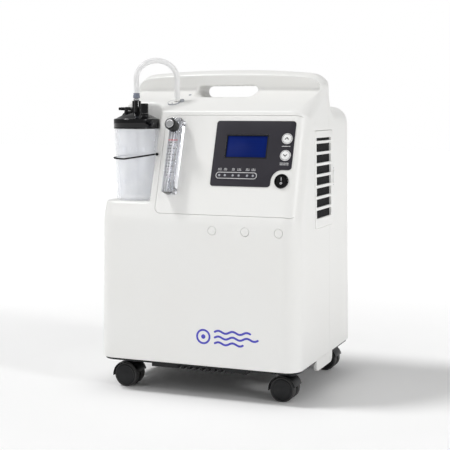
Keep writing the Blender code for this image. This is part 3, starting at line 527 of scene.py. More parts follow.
def per(millimetres):
    """Texture scale that gives features of a real size in Object coordinates."""
    return 1.0 / (millimetres * MM)


def add(tree, kind, inputs=None, stops=(), **settings):
    """One shader node with its settings, its ramp stops and its inputs, each a value or an output."""
    node = tree.nodes.new(f"ShaderNode{kind}")
    for key, value in settings.items():
        setattr(node, key, value)
    if stops:
        elements = node.color_ramp.elements
        while len(elements) < len(stops):
            elements.new(0.5)
        for element, (position, colour) in zip(elements, stops):
            element.position = position
            element.color = colour
    for key, value in (inputs or {}).items():
        if isinstance(value, bpy.types.NodeSocket):
            tree.links.new(value, node.inputs[key])
        else:
            node.inputs[key].default_value = value
    return node


def blank(name, uniform):
    """A new material: its node tree and its Principled shader with the uniform values set."""
    made = bpy.data.materials.new(name)
    made.use_nodes = True
    tree = made.node_tree
    shader = tree.nodes["Principled BSDF"]
    for socket, value in uniform.items():
        shader.inputs[socket].default_value = value
    return made, tree, shader


def lead(tree, shader, drift, tones, roughness, relief, depth, strength=1.0):
    """Lead one texture to tone and sheen, each between its two limits, and one to the relief."""
    tone = add(tree, "ValToRGB", {"Fac": drift}, [(0.3, linear(tones[0])), (0.7, linear(tones[1]))])
    sheen = add(tree, "MapRange", {"Value": drift, 1: 0.3, 2: 0.7, 3: roughness[0], 4: roughness[1]})
    bump = add(tree, "Bump", {"Height": relief, "Strength": strength, "Distance": depth * MM})
    tree.links.new(tone.outputs["Color"], shader.inputs["Base Color"])
    tree.links.new(sheen.outputs["Result"], shader.inputs["Roughness"])
    tree.links.new(bump.outputs["Normal"], shader.inputs["Normal"])


def textured(name, tones, roughness, grain, uniform=None, cloud=70.0, kind="TexNoise"):
    """A surface with drifting tone and sheen and a fine relief.

    tones are the two colours that the drift runs between, roughness its two limits, and grain the size
    and height of the relief in millimetres. cloud is the size of the drift.
    """
    made, tree, shader = blank(name, uniform or {})
    place = add(tree, "TexCoord").outputs["Object"]
    drift = add(tree, "TexNoise", {"Vector": place, "Scale": per(cloud), "Detail": 3.0}).outputs[0]
    relief = add(tree, kind, {"Vector": place, "Scale": per(grain[0])}).outputs[0]
    lead(tree, shader, drift, tones, roughness, relief, grain[1])
    return made


def brushed(name, tones, roughness, stretch, spacing, depth, metallic=1.0):
    """A worked metal: tool marks are noise stretched along one axis, seen in tone, sheen and relief."""
    made, tree, shader = blank(name, {"Metallic": metallic})
    place = add(tree, "TexCoord").outputs["Object"]
    lay = add(tree, "Mapping", {"Vector": place, "Scale": stretch}).outputs[0]
    marks = add(tree, "TexNoise", {"Vector": lay, "Scale": per(spacing), "Detail": 4.0}).outputs[0]
    lead(tree, shader, marks, tones, roughness, marks, depth)
    return made


def moulded_white_abs():
    """ABS moulded on a fine spark-eroded tool: even white, a soft broad highlight, almost no grain."""
    case = bpy.context.scene.concentrator_colours.case
    warm = tuple(c * k for c, k in zip(case, (0.992, 0.988, 0.980, 1.0)))
    made = textured("abs_moulded_white", ("#EFEFEE", "#F3F3F1"), (0.34, 0.40), (0.9, 0.006),
                    {"IOR": 1.53}, cloud=160.0)
    ramp = next(n for n in made.node_tree.nodes if n.type == "VALTORGB")
    ramp.color_ramp.elements[0].color = (*warm[:3], 1.0)
    ramp.color_ramp.elements[1].color = (*case[:3], 1.0)
    return made


def lcd_glass():
    """Blue negative LCD under glass: a deep blue that drifts a little, its grid of cells just showing."""
    blue = bpy.context.scene.concentrator_colours.display
    made, tree, shader = blank("lcd_glass_blue", {"IOR": 1.4, "Roughness": 0.24,
                                                      "Specular IOR Level": 0.1})
    place = add(tree, "TexCoord").outputs["Object"]
    drift = add(tree, "TexNoise", {"Vector": place, "Scale": per(60.0)}).outputs[0]
    cells = add(tree, "TexBrick", {
        "Vector": place, "Scale": 1.0, "Mortar Size": 0.12 * MM, "Brick Width": 0.9 * MM,
        "Row Height": 0.9 * MM, "Color1": (1, 1, 1, 1), "Color2": (1, 1, 1, 1),
        "Mortar": (0.8, 0.8, 0.8, 1),
    }, offset=0.0)
    dark = (*[c * 0.8 for c in blue[:3]], 1.0)
    tone = add(tree, "ValToRGB", {"Fac": drift}, [(0.3, dark), (0.7, tuple(blue))])
    lit = add(tree, "Mix", {0: 1.0, 6: tone.outputs["Color"], 7: cells.outputs["Color"]},
              data_type="RGBA", blend_type="MULTIPLY")
    tree.links.new(lit.outputs[2], shader.inputs["Base Color"])
    tree.links.new(lit.outputs[2], shader.inputs["Emission Color"])
    shader.inputs["Emission Strength"].default_value = 0.3
    return made


def elastic_braid():
    """Braided elastic cord: two sets of fine threads cross in a lozenge pattern along the cord."""
    made, tree, shader = blank("elastic_braid_black", {"IOR": 1.5, "Specular IOR Level": 0.2})
    way = add(tree, "UVMap", uv_map="along").outputs[0]
    weave = add(tree, "TexWave", {"Vector": way, "Scale": 1.0}, wave_type="BANDS",
                bands_direction="DIAGONAL").outputs[1]
    tone = add(tree, "ValToRGB", {"Fac": weave}, [(0.2, linear("#050506")), (0.9, linear("#131315"))])
    sheen = add(tree, "MapRange", {"Value": weave, 3: 0.75, 4: 0.55})
    tree.links.new(tone.outputs["Color"], shader.inputs["Base Color"])
    tree.links.new(sheen.outputs["Result"], shader.inputs["Roughness"])
    return made


def clear_plastic(name, tones, roughness, ior, ripple, uniform):
    """A see-through moulding: its flow lines bend the view a little."""
    made, tree, shader = blank(name, {"IOR": ior, **uniform})
    place = add(tree, "TexCoord").outputs["Object"]
    flow = add(tree, "TexNoise", {"Vector": place, "Scale": per(ripple), "Detail": 2.0}).outputs[0]
    lead(tree, shader, flow, tones, roughness, flow, 0.05, 0.3)
    return made


# What is the same all over a surface: light bends by this much, and black plastics shine a little less.
ABS = {"IOR": 1.53}
SHINY_BLACK = {"IOR": 1.45, "Specular IOR Level": 0.4}
MOULDED = {
    # Inlet nut: grey-blue ABS, satin.
    "nut": ("abs_moulded_slate", ("#757A89", "#848998"), (0.28, 0.38), (0.8, 0.01), ABS, 12.0),
    # ABS caps and trim: a cool light grey with a fine satin grain.
    "grey": ("abs_moulded_grey", ("#A9ACB2", "#B4B7BC"), (0.32, 0.42), (0.8, 0.01), ABS),
    # Key caps: white ABS, a little smoother than the case.
    "key": ("abs_moulded_key_white", ("#EDEDED", "#F7F7F7"), (0.28, 0.34), (0.7, 0.004), ABS),
    # Polished black ABS: near black with a sharp reflection and faint swirl marks.
    "gloss": ("abs_polished_black", ("#050507", "#0A0A0C"), (0.07, 0.13), (6.0, 0.004), SHINY_BLACK),
    # Satin black ABS: charcoal with a soft highlight and a fine moulded grain.
    "satin": ("abs_satin_black", ("#0C0D0F", "#131416"), (0.30, 0.40), (0.9, 0.012), SHINY_BLACK),
    # Polyamide wheels: charcoal, with a duller, slightly scuffed tread.
    "nylon": ("polyamide_wheel_black", ("#0B0C0E", "#141518"), (0.30, 0.44), (1.4, 0.02), SHINY_BLACK,
              14.0),
    # Polyurethane tyre: a worn warm grey where it runs on the floor.
    "tyre": ("polyurethane_tyre_grey", ("#2B2B2D", "#3A3937"), (0.45, 0.62), (1.0, 0.03),
             {"IOR": 1.5}, 9.0),
    # Screen-printed polyester film: warm charcoal with a velvet texture.
    "film": ("polyester_film_charcoal", ("#2B2930", "#2F2D34"), (0.36, 0.42), (0.55, 0.008),
             SHINY_BLACK, 50.0),
    # Reticulated polyurethane foam: black open cells about 1.5 mm across.
    "foam": ("foam_open_cell_black", ("#040405", "#0A0A0C"), (0.85, 0.98), (1.6, 0.8), {"IOR": 1.45},
             6.0, "TexVoronoi"),
    # Glass-epoxy board under solder resist: deep green, glossy, with its copper just raised.
    "board": ("epoxy_board_green", ("#0E3B1E", "#165A2C"), (0.25, 0.35), (2.4, 0.04), {"IOR": 1.55},
              5.0, "TexVoronoi"),
}
# Printed inks: thin, matt and a little uneven in cover, each with its two tones and its cloud size.
INKS = {
    "white_ink": ("ink_printed_white", ("#DADADC", "#EDEDEE"), 4.0),
    "dim_ink": ("ink_printed_grey", ("#5C5A62", "#6C6A72"), 4.0),
    "black_ink": ("ink_printed_black", ("#1C1C20", "#2A2A30"), 4.0),
    "red_ink": ("ink_printed_red", ("#CC2F3C", "#DD4450"), 4.0),
    "indigo_ink": ("ink_printed_indigo", ("#3F3FB8", "#4A4AC6"), 12.0),
}
CLEAR = {
    # Cast acrylic: water clear with a faint cold tint, and polished faces.
    "acrylic": ("acrylic_cast_clear", ("#EFF0F6", "#F6F7FA"), (0.01, 0.03), 1.49, 30.0,
                {"Transmission Weight": 1.0}),
    # Blown polypropylene: milky, with a soft view of what stands inside, and a faint painted glow
    # standing in for light scattered in its wall.
    "jar": ("polypropylene_moulded_frosted", ("#E8EBF2", "#F1F3F7"), (0.16, 0.24), 1.49, 24.0,
            {"Alpha": 0.3, "Emission Strength": 0.12}),
    # Extruded silicone: milky and rubbery, brighter along its middle.
    "silicone": ("silicone_extruded_natural", ("#FAFAFA", "#FDFDFD"), (0.24, 0.32), 1.41, 60.0,
                 {"Alpha": 0.85}),
}
METAL = {
    # Chromed plastic: a mirror with a trace of orange peel.
    "chrome": ("chrome_plated", ("#D5D6D8", "#E6E6E8"), (0.06, 0.11), (1, 1, 1), 3.0, 0.002),
    # Turned stainless steel: fine rings of tool marks.
    "steel": ("steel_turned", ("#9EA0A3", "#B9BBBE"), (0.22, 0.34), (1, 1, 12), 4.0, 0.01),
    # Zinc plated sheet: a light metal with long rolling marks.
    "sheet": ("steel_zinc_sheet", ("#A7A9AC", "#BDBFC1"), (0.34, 0.46), (1, 12, 1), 8.0, 0.02),
    # Extruded and cast aluminium: pale metal, drawn lengthwise.
    "aluminium": ("aluminium_drawn", ("#B4B6B9", "#CACCCE"), (0.3, 0.42), (10, 10, 1), 9.0, 0.02),
}
SPECIAL = {"case": moulded_white_abs, "lcd": lcd_glass, "braid": elastic_braid}
MAKERS = ((textured, MOULDED), (clear_plastic, CLEAR), (brushed, METAL))
MADE = {}


def finish(key):
    """The material of that finish, made once."""
    if key not in MADE:
        if key in SPECIAL:
            MADE[key] = SPECIAL[key]()
        elif key in INKS:
            name, tones, cloud = INKS[key]
            MADE[key] = textured(name, tones, (0.4, 0.5), (0.6, 0.004), {"IOR": 1.5}, cloud)
        else:
            maker, table = next(pair for pair in MAKERS if key in pair[1])
            MADE[key] = maker(*table[key])
    return MADE[key]


# ------------------------------------------------------------------ shapes shared by several pieces

def flared(outline, low, high, rim=0.5):
    """A cutter through a wall that widens by rim where it leaves the wall at height high.

    The ring is the outline up to high - rim, and grows outwards by rim on the way to high and above.
    """
    wide = offset_outline(outline, -rim)
    rings = [(outline, low), (outline, high - rim), (wide, high), (wide, high + 3.0)]
    return capped(np.stack([np.column_stack([ring, np.full(len(ring), z)]) for ring, z in rings]))


def ring_strip(outline, width, low, high):
    """A flat closed line: the band between an outline and the same outline moved inwards by width."""
    inner = offset_outline(outline, width)
    rings = [(outline, low), (outline, high), (inner, high), (inner, low)]
    points = np.stack([np.column_stack([ring, np.full(len(ring), z)]) for ring, z in rings])
    return surface(points, wrap_u=True, wrap_v=True)


def stroke(points, width, low, high):
    """A flat line of even width along points (x, y), its ends half circles of that width."""
    path = np.asarray(points, float)
    along = unit(np.gradient(path, axis=0))
    side = np.column_stack([-along[:, 1], along[:, 0]]) * width / 2
    turn = np.linspace(-math.pi / 2, math.pi / 2, 7)

    def end(place, heading, sign):
        angle = math.atan2(heading[1], heading[0]) + turn
        return place + sign * width / 2 * np.column_stack([np.cos(angle), np.sin(angle)])

    tip, tail = end(path[-1], along[-1], 1), end(path[0], along[0], -1)
    outline = np.vstack([(path - side)[1:-1], tip, (path + side)[::-1][1:-1], tail])
    return prism_between(outline, low, high)


def prism_between(outline, low, high):
    """A straight slab of an outline between two heights."""
    return capped(np.stack([np.column_stack([outline, np.full(len(outline), z)]) for z in (low, high)]))


def disc(radius, low, high, edge=0.3, steps=40, centre=(0.0, 0.0)):
    """A round slab with a quarter-round top edge, about a centre."""
    turn = np.linspace(0, math.pi / 2, 5)
    rim = [(radius - edge * (1 - math.cos(t)), high - edge + edge * math.sin(t)) for t in turn]
    verts, faces = turned([(0, low), (radius, low), *rim, (0, high)], steps)
    return shift(verts, (*centre, 0.0)), faces


def ball(radius, rings, steps):
    """A sphere about the origin: (r cos t, r sin t) for t from -90 to 90 degrees, turned."""
    turn = np.linspace(-math.pi / 2, math.pi / 2, rings)
    return turned(np.column_stack([radius * np.cos(turn), radius * np.sin(turn)]), steps)


def at_panel(part, x, along):
    """A shape drawn about Z set on the panel at (x, along), its Z out of the panel."""
    return moved(part, lambda points: panel(points + np.array([x, along, 0.0])))


def upright(part, x, y):
    """A shape drawn about Z stood at a place in the cabinet."""
    return moved(part, lambda points: shift(points, (x, y + SHIFT_Y, 0.0)))


def on_front(points):
    """Points given as (x, z, distance out) laid on the flat lower front."""
    x, z, out = np.moveaxis(np.asarray(points, float), -1, 0)
    return np.stack([x, -HALF_DEPTH + SHIFT_Y - out, z], -1)


def hugging(points):
    """Panel points that follow the round right-hand corner of the cabinet instead of standing off it.

    Past the corner's start, at a distance d, they fall back by R - sqrt(R^2 - d^2).
    """
    x, along, out = np.moveaxis(np.asarray(points, float), -1, 0)
    height = CREASE_Z + along * math.cos(LEAN)
    start = HALF_WIDTH - SIDE_DRAFT * (height - SHELL_BOTTOM) - CORNER
    over = np.clip(x - start, 0, CORNER - 1.0)
    return panel(np.stack([x, along, out - (CORNER - np.sqrt(CORNER ** 2 - over ** 2))], -1))


def bent(mesh, change, stations):
    """A mesh sliced at several X positions, then passed through a function, so flat faces can curve."""
    shape = bmesh.new()
    shape.from_mesh(mesh)
    for station in stations:
        whole = shape.verts[:] + shape.edges[:] + shape.faces[:]
        bmesh.ops.bisect_plane(shape, geom=whole, plane_co=(station * MM, 0, 0), plane_no=(1, 0, 0))
    shape.to_mesh(mesh)
    shape.free()
    mesh.vertices.foreach_set("co", (change(points_of(mesh)) * MM).ravel())
    mesh.update()
    return mesh


def copies(part, places):
    """One part repeated at several (x, y, z) places."""
    return merged(*[moved(part, lambda points, at=place: shift(points, at)) for place in places])


def numeral(text, size, thick):
    """A printed number as a flat closed mesh about its own centre, in millimetres."""
    curve = bpy.data.curves.new("numeral", "FONT")
    curve.body = text
    curve.size = size
    curve.extrude = thick / 2
    curve.align_x = "CENTER"
    curve.align_y = "CENTER"
    curve.resolution_u = 3
    obj = bpy.data.objects.new("numeral", curve)
    bpy.context.scene.collection.objects.link(obj)
    mesh = bpy.data.meshes.new_from_object(obj.evaluated_get(bpy.context.evaluated_depsgraph_get()))
    bpy.data.objects.remove(obj)
    return points_of(mesh) * MM, [list(face.vertices) for face in mesh.polygons]


# ------------------------------------------------------------------ what a user may change

class ConcentratorColours(bpy.types.PropertyGroup):
    """Colours of the case, the display and the floor."""

    case: bpy.props.FloatVectorProperty(
        name="Case", description="White of the moulded case", subtype="COLOR", size=4,
        default=linear("#F3F3F1"), min=0.0, max=1.0)
    display: bpy.props.FloatVectorProperty(
        name="Display", description="Blue of the liquid crystal display", subtype="COLOR", size=4,
        default=linear("#0A2066"), min=0.0, max=1.0)
    floor: bpy.props.FloatVectorProperty(
        name="Floor", description="Pale floor under the machine", subtype="COLOR", size=4,
        default=linear("#FDFDFD"), min=0.0, max=1.0)


class ConcentratorSizes(bpy.types.PropertyGroup):
    """Sizes of the fine detail, in millimetres."""

    wall: bpy.props.FloatProperty(
        name="Wall", description="Wall of the moulded case", default=3.0, min=1.5, max=4.0)
    shut_line: bpy.props.FloatProperty(
        name="Shut line", description="Gap round the control fascia", default=0.7, min=0.2, max=1.5)
    ink: bpy.props.FloatProperty(
        name="Ink", description="Thickness of a printed mark", default=0.08, min=0.02, max=0.3)
    flutes: bpy.props.IntProperty(
        name="Flutes", description="Grip flutes round the flow knob", default=30, min=8, max=60)


def sizes():
    """The scene's sizes."""
    return bpy.context.scene.concentrator_sizes


# ------------------------------------------------------------------ the hose and the strap

# Radii of the hose, places on the plan in the cabinet's own millimetres, and heights along the hose.
HOSE_RADIUS = 5.0
HOSE_BORE = 3.3
RELIEF = (-117.5, -135.5)
BOTTLE_X, BOTTLE_Y = middle("humidifier_jar")[0], middle("humidifier_jar")[1] - SHIFT_Y
NIPPLE_X, NIPPLE_Y = -79.5, -72.0
FLANGE, LEDGE_CAP = (-85.0, -76.0), (-71.0, -68.0)
HOSE_START, HOSE_SPRING, HOSE_TOP, HOSE_END = 556.7, 583.0, 617.0, 546.0


def hose_route(count):
    """Centre line of the hose: up from the nut, over in a round arch and down to the outlet.

    The arch has its plan share (1 - cos a) / 2 of the way across and its height the spring line plus
    the rise times sin a, for a from 0 to pi; straight ends run on below it.
    """
    start = np.array([BOTTLE_X, BOTTLE_Y])
    end = np.array([NIPPLE_X, NIPPLE_Y])
    angles = np.linspace(0, math.pi, count)
    plan = start + ((1 - np.cos(angles)) / 2)[:, None] * (end - start)
    arch = np.column_stack([plan, HOSE_SPRING + (HOSE_TOP - HOSE_SPRING) * np.sin(angles)])
    left = [(*start, z) for z in np.linspace(HOSE_START, HOSE_SPRING, 3, endpoint=False)]
    right = [(*end, z) for z in np.linspace(HOSE_SPRING, HOSE_END, 4)[1:]]
    return np.vstack([left, arch, right]) + np.array([0.0, SHIFT_Y, 0.0])


class OBJECT_OT_oxygen_hose(bpy.types.Operator):
    """Silicone hose from the bottle's inlet nut to the outlet on the ledge"""

    bl_idname = "concentrator.oxygen_hose"
    bl_label = "Oxygen hose"

    def execute(self, context):
        path = smooth_path(hose_route(15), 72)
        outer = swept(path, HOSE_RADIUS, 28)
        inner = swept(path, HOSE_BORE, 28)[::-1]
        hose = place_piece("oxygen_hose_tube", surface(np.vstack([outer, inner]), True, True),
                           "inlet_swivel", finish("silicone"), "oxygen_hose")
        return {"FINISHED"}


# Radius of the strap's cord, and of the ring that it runs in round the bottle.
STRAP_RADIUS = 1.5
STRAP_RING = 42.6


def strap_route():
    """Plan tangents from knob and hook to a ring round the bottle, with the height by length."""
    knob = middle("strap_knob") - np.array([3.6, 0.2, 0.0])
    hook = np.array([middle("strap_hook")[0], span("strap_hook")[0][1] - 1.7, middle("strap_hook")[2]])
    centre = np.array([BOTTLE_X, BOTTLE_Y + SHIFT_Y])

    def touch(point, side):
        away = point[:2] - centre
        return math.atan2(away[1], away[0]) + side * math.acos(STRAP_RING / np.linalg.norm(away))

    angles = np.linspace(touch(knob, -1), touch(hook, 1) - 2 * math.pi, 40)
    ring = centre + STRAP_RING * np.column_stack([np.cos(angles), np.sin(angles)])
    plan = np.vstack([knob[:2], (knob[:2] + ring[0]) / 2, ring, (hook[:2] + ring[-1]) / 2, hook[:2]])
    steps = np.linalg.norm(np.diff(plan, axis=0), axis=1)
    share = np.concatenate([[0], np.cumsum(steps)]) / steps.sum()
    heights = np.interp(share, [0.0, 0.35, 0.7, 1.0], [knob[2], 434.8, 436.0, hook[2]])
    return np.column_stack([plan, heights])


class OBJECT_OT_bottle_strap(bpy.types.Operator):
    """Elastic strap round the bottle, with the ball and the hook that hold its ends"""

    bl_idname = "concentrator.bottle_strap"
    bl_label = "Bottle strap"

    def execute(self, context):
        path = smooth_path(strap_route(), 260)
        steps = 16
        tube = swept(path, STRAP_RADIUS, steps)
        centre = path[:, None]
        row = np.arange(len(path))[:, None]
        column = np.arange(steps)[None, :]
        # Alternate points stand in and out, so the plait is felt in the outline.
        plait = 1.0 + 0.05 * np.cos(math.pi * (row + column)) + 0.03 * np.cos(math.pi * row)
        mesh = make_mesh("elastic_strap", capped(centre + (tube - centre) * plait[..., None] * 0.97))
        chart = mesh.uv_layers.new(name="along")
        places = points_of(mesh)
        nearest = np.linalg.norm(places[:, None] - path[None], axis=2).argmin(1)
        corners = np.empty(len(mesh.loops), int)
        mesh.loops.foreach_get("vertex_index", corners)
        lengthwise = nearest[corners] / len(path) * run_length(path) * 0.8
        round_it = (places[corners] - path[nearest[corners]])[:, 2] / STRAP_RADIUS * 1.2
        chart.data.foreach_set("uv", np.column_stack([lengthwise, round_it]).ravel())
        place_piece("elastic_strap", mesh, "cabinet", finish("braid"), "jar_strap", 50)
        place_piece("strap_ball", copies(ball(2.9, 13, 28), [middle("strap_knob")]), "cabinet",
                    finish("satin"), "strap_knob")
        eye = [(0, -1.0), (2.6, -1.0), (3.0, -0.6), (3.0, 0.2), (1.9, 0.6), (1.7, 0.9), (0, 1.0)]
        hook = moved(turned(eye, 28), lambda points: along_y(points * (1.0, 1.0, -0.7)))
        place_piece("strap_eye", copies(hook, [middle("strap_hook")]), "cabinet",
                    finish("satin"), "strap_hook")
        return {"FINISHED"}


# ------------------------------------------------------------------ the case

# Rectangles are (left, right, low, high). Those of the panel are measured up its slope, and those of
# the side walls run from front to back.
FASCIA = (-81.0, 188.0, 12.7, 199.3)
LCD = (44.0, 123.6, 119.2, 162.4)
LED_STRIP = (31.0, 110.0, 80.2, 92.8)
KEY_X, KEY_UP, KEY_DOWN = 159.0, 156.1, 125.2
SWITCH_X, SWITCH_S = 157.0, 78.0
HANDLE_SCREW = (-68.5, -36.0)
PLUG_XS, PLUG_Z = (34.5, 97.4, 160.3), 310.0
DOOR = (-68.0, 42.0, 308.0, 487.0)
VENT = (-70.0, 50.0, 95.0, 209.0)
INLET = (118.0, 118.0)
# The gap round each window in the film, and how far a printed mark reaches into what carries it.
WINDOW_GAP = 0.4
INK_SUNK = 0.02


def widened(sides, by):
    """A rectangle (left, right, low, high) grown by a distance on every side."""
    return sides[0] - by, sides[1] + by, sides[2] - by, sides[3] + by


def block(low, high):
    """A plain block in the cabinet's own millimetres, used only to cut with."""
    (x0, y0, z0), (x1, y1, z1) = low, high
    outline = np.array([(x0, y0), (x1, y0), (x1, y1), (x0, y1)], float)
    return copies(prism_between(outline, z0, z1), [(0, SHIFT_Y, 0)])


def hollow_case():
    """The cabinet's wall: its distance field's level less the level one wall thickness inside it."""
    xs = ((-201, -150, 2.6), (-150, -112, 4), (-112, -76, 2), (-76, -44, 2.8), (-44, 44, 7),
          (44, 76, 2.8), (76, 140, 6), (140, 201, 2.6))
    ys = ((-181, -100, 2.6), (-100, -60, 2), (-60, 60, 2.3), (60, 140, 5), (140, 182, 2.6))
    zs = ((37, 70, 1.7), (70, 300, 11), (300, 345, 4), (345, 365, 1.9), (365, 505, 6), (505, 606, 1.9))
    wall = sizes().wall
    skins = []
    for depth, spread in ((0.0, 1.0), (wall, 1.9)):
        grid = [steps_between(*[(a, b, s * spread) for a, b, s in axis]) for axis in (xs, ys, zs)]
        points, quads = contour(lambda x, y, z: cabinet(x, y, z) + depth, *grid)
        skins.append(make_mesh("skin", (points + np.array([0, SHIFT_Y, 0]), quads)))
    return cut(*skins)


def cut_all(mesh, *cutters):
    """Cut a mesh with several closed shapes that stand clear of each other."""
    return cut(mesh, make_mesh("cutter", merged(*cutters)))


def in_scoop(points):
    """A shape drawn about Z set square on the scoop's floor, which is looked for from above."""
    heights = np.linspace(585.0, 530.0, 1101)
    x, y = (np.full_like(heights, value) for value in HANDLE_SCREW)
    foot = (HANDLE_SCREW[0], HANDLE_SCREW[1] + SHIFT_Y, heights[np.argmax(cabinet(x, y, heights) < 0)])
    sine, cosine = math.sin(math.radians(SCOOP_TILT)), math.cos(math.radians(SCOOP_TILT))
    return points @ np.array([[1, 0, 0], [0, cosine, sine], [0, -sine, cosine]]) + foot


class OBJECT_OT_case(bpy.types.Operator):
    """White moulded case in two halves, with the control fascia let into the front half"""

    bl_idname = "concentrator.case"
    bl_label = "Case and fascia"

    def execute(self, context):
        gap = sizes().shut_line
        skin = hollow_case()
        door = box_outline(*widened(DOOR, 0.5), 4.0)
        vent = box_outline(*widened(VENT, 0.5), 6.5)
        plugs = [moved(flared(arc((x, PLUG_Z), 8.0, 0, 351, 40), -8.0, 0.0, 0.5), on_front)
                 for x in PLUG_XS]
        across, up = INLET
        socket = block((across - 24.5, 150.0, up - 14.5), (across + 24.5, 200.0, up + 14.5))
        skin = cut_all(
            skin, moved(flared(door, -14.0, 0.0, 0.5), right_wall),
            moved(flared(vent, -14.0, 0.0, 0.5), left_wall), socket, *plugs)
        x0, x1, s0, s1 = FASCIA
        fascia_outline = box_outline(x0, x1, s0, s1, 12.0, 10)
        slab = make_mesh("cutter", moved(prism_between(fascia_outline, -9, 16), panel))
        fascia = cut(skin.copy(), slab, "INTERSECT")
        grown = offset_outline(fascia_outline, -gap)
        skin = cut_all(skin, moved(prism_between(grown, -9, 16), panel))
        rear = cut_all(skin.copy(), block((-300, -300, 0), (300, SEAM_Y + 0.3, 700)))
        front = cut_all(skin, block((-300, SEAM_Y - 0.3, 0), (300, 300, 700)))
        holes = [moved(flared(arc((x, s), r, 0, 354, 60), -12.0, 0.0, 0.3), panel) for x, s, r in (
            (KEY_X, KEY_UP, 10.2), (KEY_X, KEY_DOWN, 10.2), (SWITCH_X, SWITCH_S, 12.0))]
        window = box_outline(*widened(LCD, WINDOW_GAP), 0.6)
        fascia = cut_all(fascia, moved(prism_between(window, -12.0, 9.0), panel), *holes)
        white = finish("case")
        place_piece("case_front", front, "cabinet", white, "front_shell", 30)
        place_piece("case_rear", rear, "cabinet", white, "rear_shell", 30)
        place_piece("case_fascia", fascia, "cabinet", white, "control_fascia", 30)
        for number, x in enumerate(PLUG_XS, 1):
            cap = disc(7.5, -6.0, 0.4, 0.7, centre=(x, PLUG_Z))
            place_piece(f"screw_cap_{number}", moved(cap, on_front), "cabinet", white,
                        f"screw_plug_{number}")
        screw = [(0, -3.0), (3.0, -3.0), (3.0, 0.4), (2.6, 0.9), (1.4, 1.0), (1.1, 0.4), (0, 0.4)]
        place_piece("handle_screw", moved(turned(screw, 32), in_scoop), "cabinet", finish("grey"), (),
                    30)
        return {"FINISHED"}


# ------------------------------------------------------------------ the control panel

class OBJECT_OT_display(bpy.types.Operator):
    """Charcoal film with the display window, the lamp strip and their printed marks"""

    bl_idname = "concentrator.display"
    bl_label = "Display film"

    def execute(self, context):
        ink = sizes().ink
        face = 1.1
        outline = rounded([
            (22.0, 66.4, 5), (136.5, 66.4, 6), (136.5, 98.5, 20.45), (172.5, 98.5, 6), (172.5, 188.8, 5),
            (22.0, 188.8, 5),
        ], 14)
        film = make_mesh("film", plate(outline, 0.3, face, 0.25))
        window = box_outline(*widened(LCD, WINDOW_GAP), 0.8)
        strip = box_outline(*widened(LED_STRIP, WINDOW_GAP), 6.6, 12)
        keys = [arc((KEY_X, along), 10.2, 0, 354, 60) for along in (KEY_UP, KEY_DOWN)]
        cutters = [flared(hole, -3.0, face, 0.2) for hole in (window, strip, *keys)]
        film = bent(cut_all(film, *cutters), hugging, np.arange(160.5, 172.0, 1.0))
        place_piece("display_film", film, "cabinet", finish("film"), "display_overlay")
        gasket = ring_strip(box_outline(*LCD, 0.5), 1.6, -5.9, 0.85)
        place_piece("display_gasket", moved(gasket, panel), "cabinet", finish("satin"), ())
        glass = box_outline(*widened(LCD, -1.7), 0.3)
        place_piece("display_glass", moved(plate(glass, -5.9, -1.4, 0.2), panel), "cabinet",
                    finish("lcd"), "lcd_window")
        lamps = box_outline(*LED_STRIP, 6.2, 12)
        mid = (LED_STRIP[2] + LED_STRIP[3]) / 2
        lamp_xs = (38.0, 49.0, 64.0, 75.5, 91.5, 102.5)
        lamp_places = [(x, mid, 0.0) for x in lamp_xs]
        place_piece("lamp_strip", moved(plate(lamps, 0.3, 0.9, 0.2), panel), "cabinet", finish("film"),
                    "led_bar")
        border = ring_strip(offset_outline(lamps, 0.3), 1.0, 0.85, 0.9 + ink)
        place_piece("lamp_strip_line", moved(border, panel), "cabinet", finish("white_ink"), ())
        lens = turned([(0, 0.8), (1.9, 0.8), (1.9, 1.0), (1.4, 1.35), (0.7, 1.5), (0, 1.55)], 24)
        place_piece("lamp_lenses", moved(copies(lens, lamp_places), panel), "cabinet",
                    finish("grey"), ())
        halo = turned([(2.2, 0.85), (2.7, 0.85), (2.7, 0.9 + ink), (2.2, 0.9 + ink)], 24)
        place_piece("lamp_rings", moved(copies(halo, lamp_places), panel), "cabinet",
                    finish("dim_ink"), ())
        low, high = face - INK_SUNK, face + ink
        marks = []
        for x, wide in zip(lamp_xs, (7.0, 6.0, 5.0, 7.5, 7.0, 7.5)):
            for dx, tall in ((-0.36, 2.0), (0.0, 2.6), (0.36, 2.0)):
                at = x + dx * wide
                marks.append(stroke([(at, 97.2), (at, 97.2 + tall)], 0.75, low, high))
            marks.append(stroke([(x - 0.5 * wide, 96.0), (x + 0.5 * wide, 96.0)], 0.55, low, high))
        for along, rows in ((KEY_UP, 1), (KEY_DOWN, 2)):
            for row in range(rows):
                level = along - 14.2 - 3.0 * row
                for x, half in ((-5.6, 2.4), (0.4, 2.2), (5.6, 1.6)):
                    ends = [(KEY_X + x - half, level), (KEY_X + x + half, level)]
                    marks.append(stroke(ends, 1.0, low, high))
        place_piece("film_marks", moved(merged(*marks), hugging), "cabinet", finish("white_ink"), ())
        return {"FINISHED"}


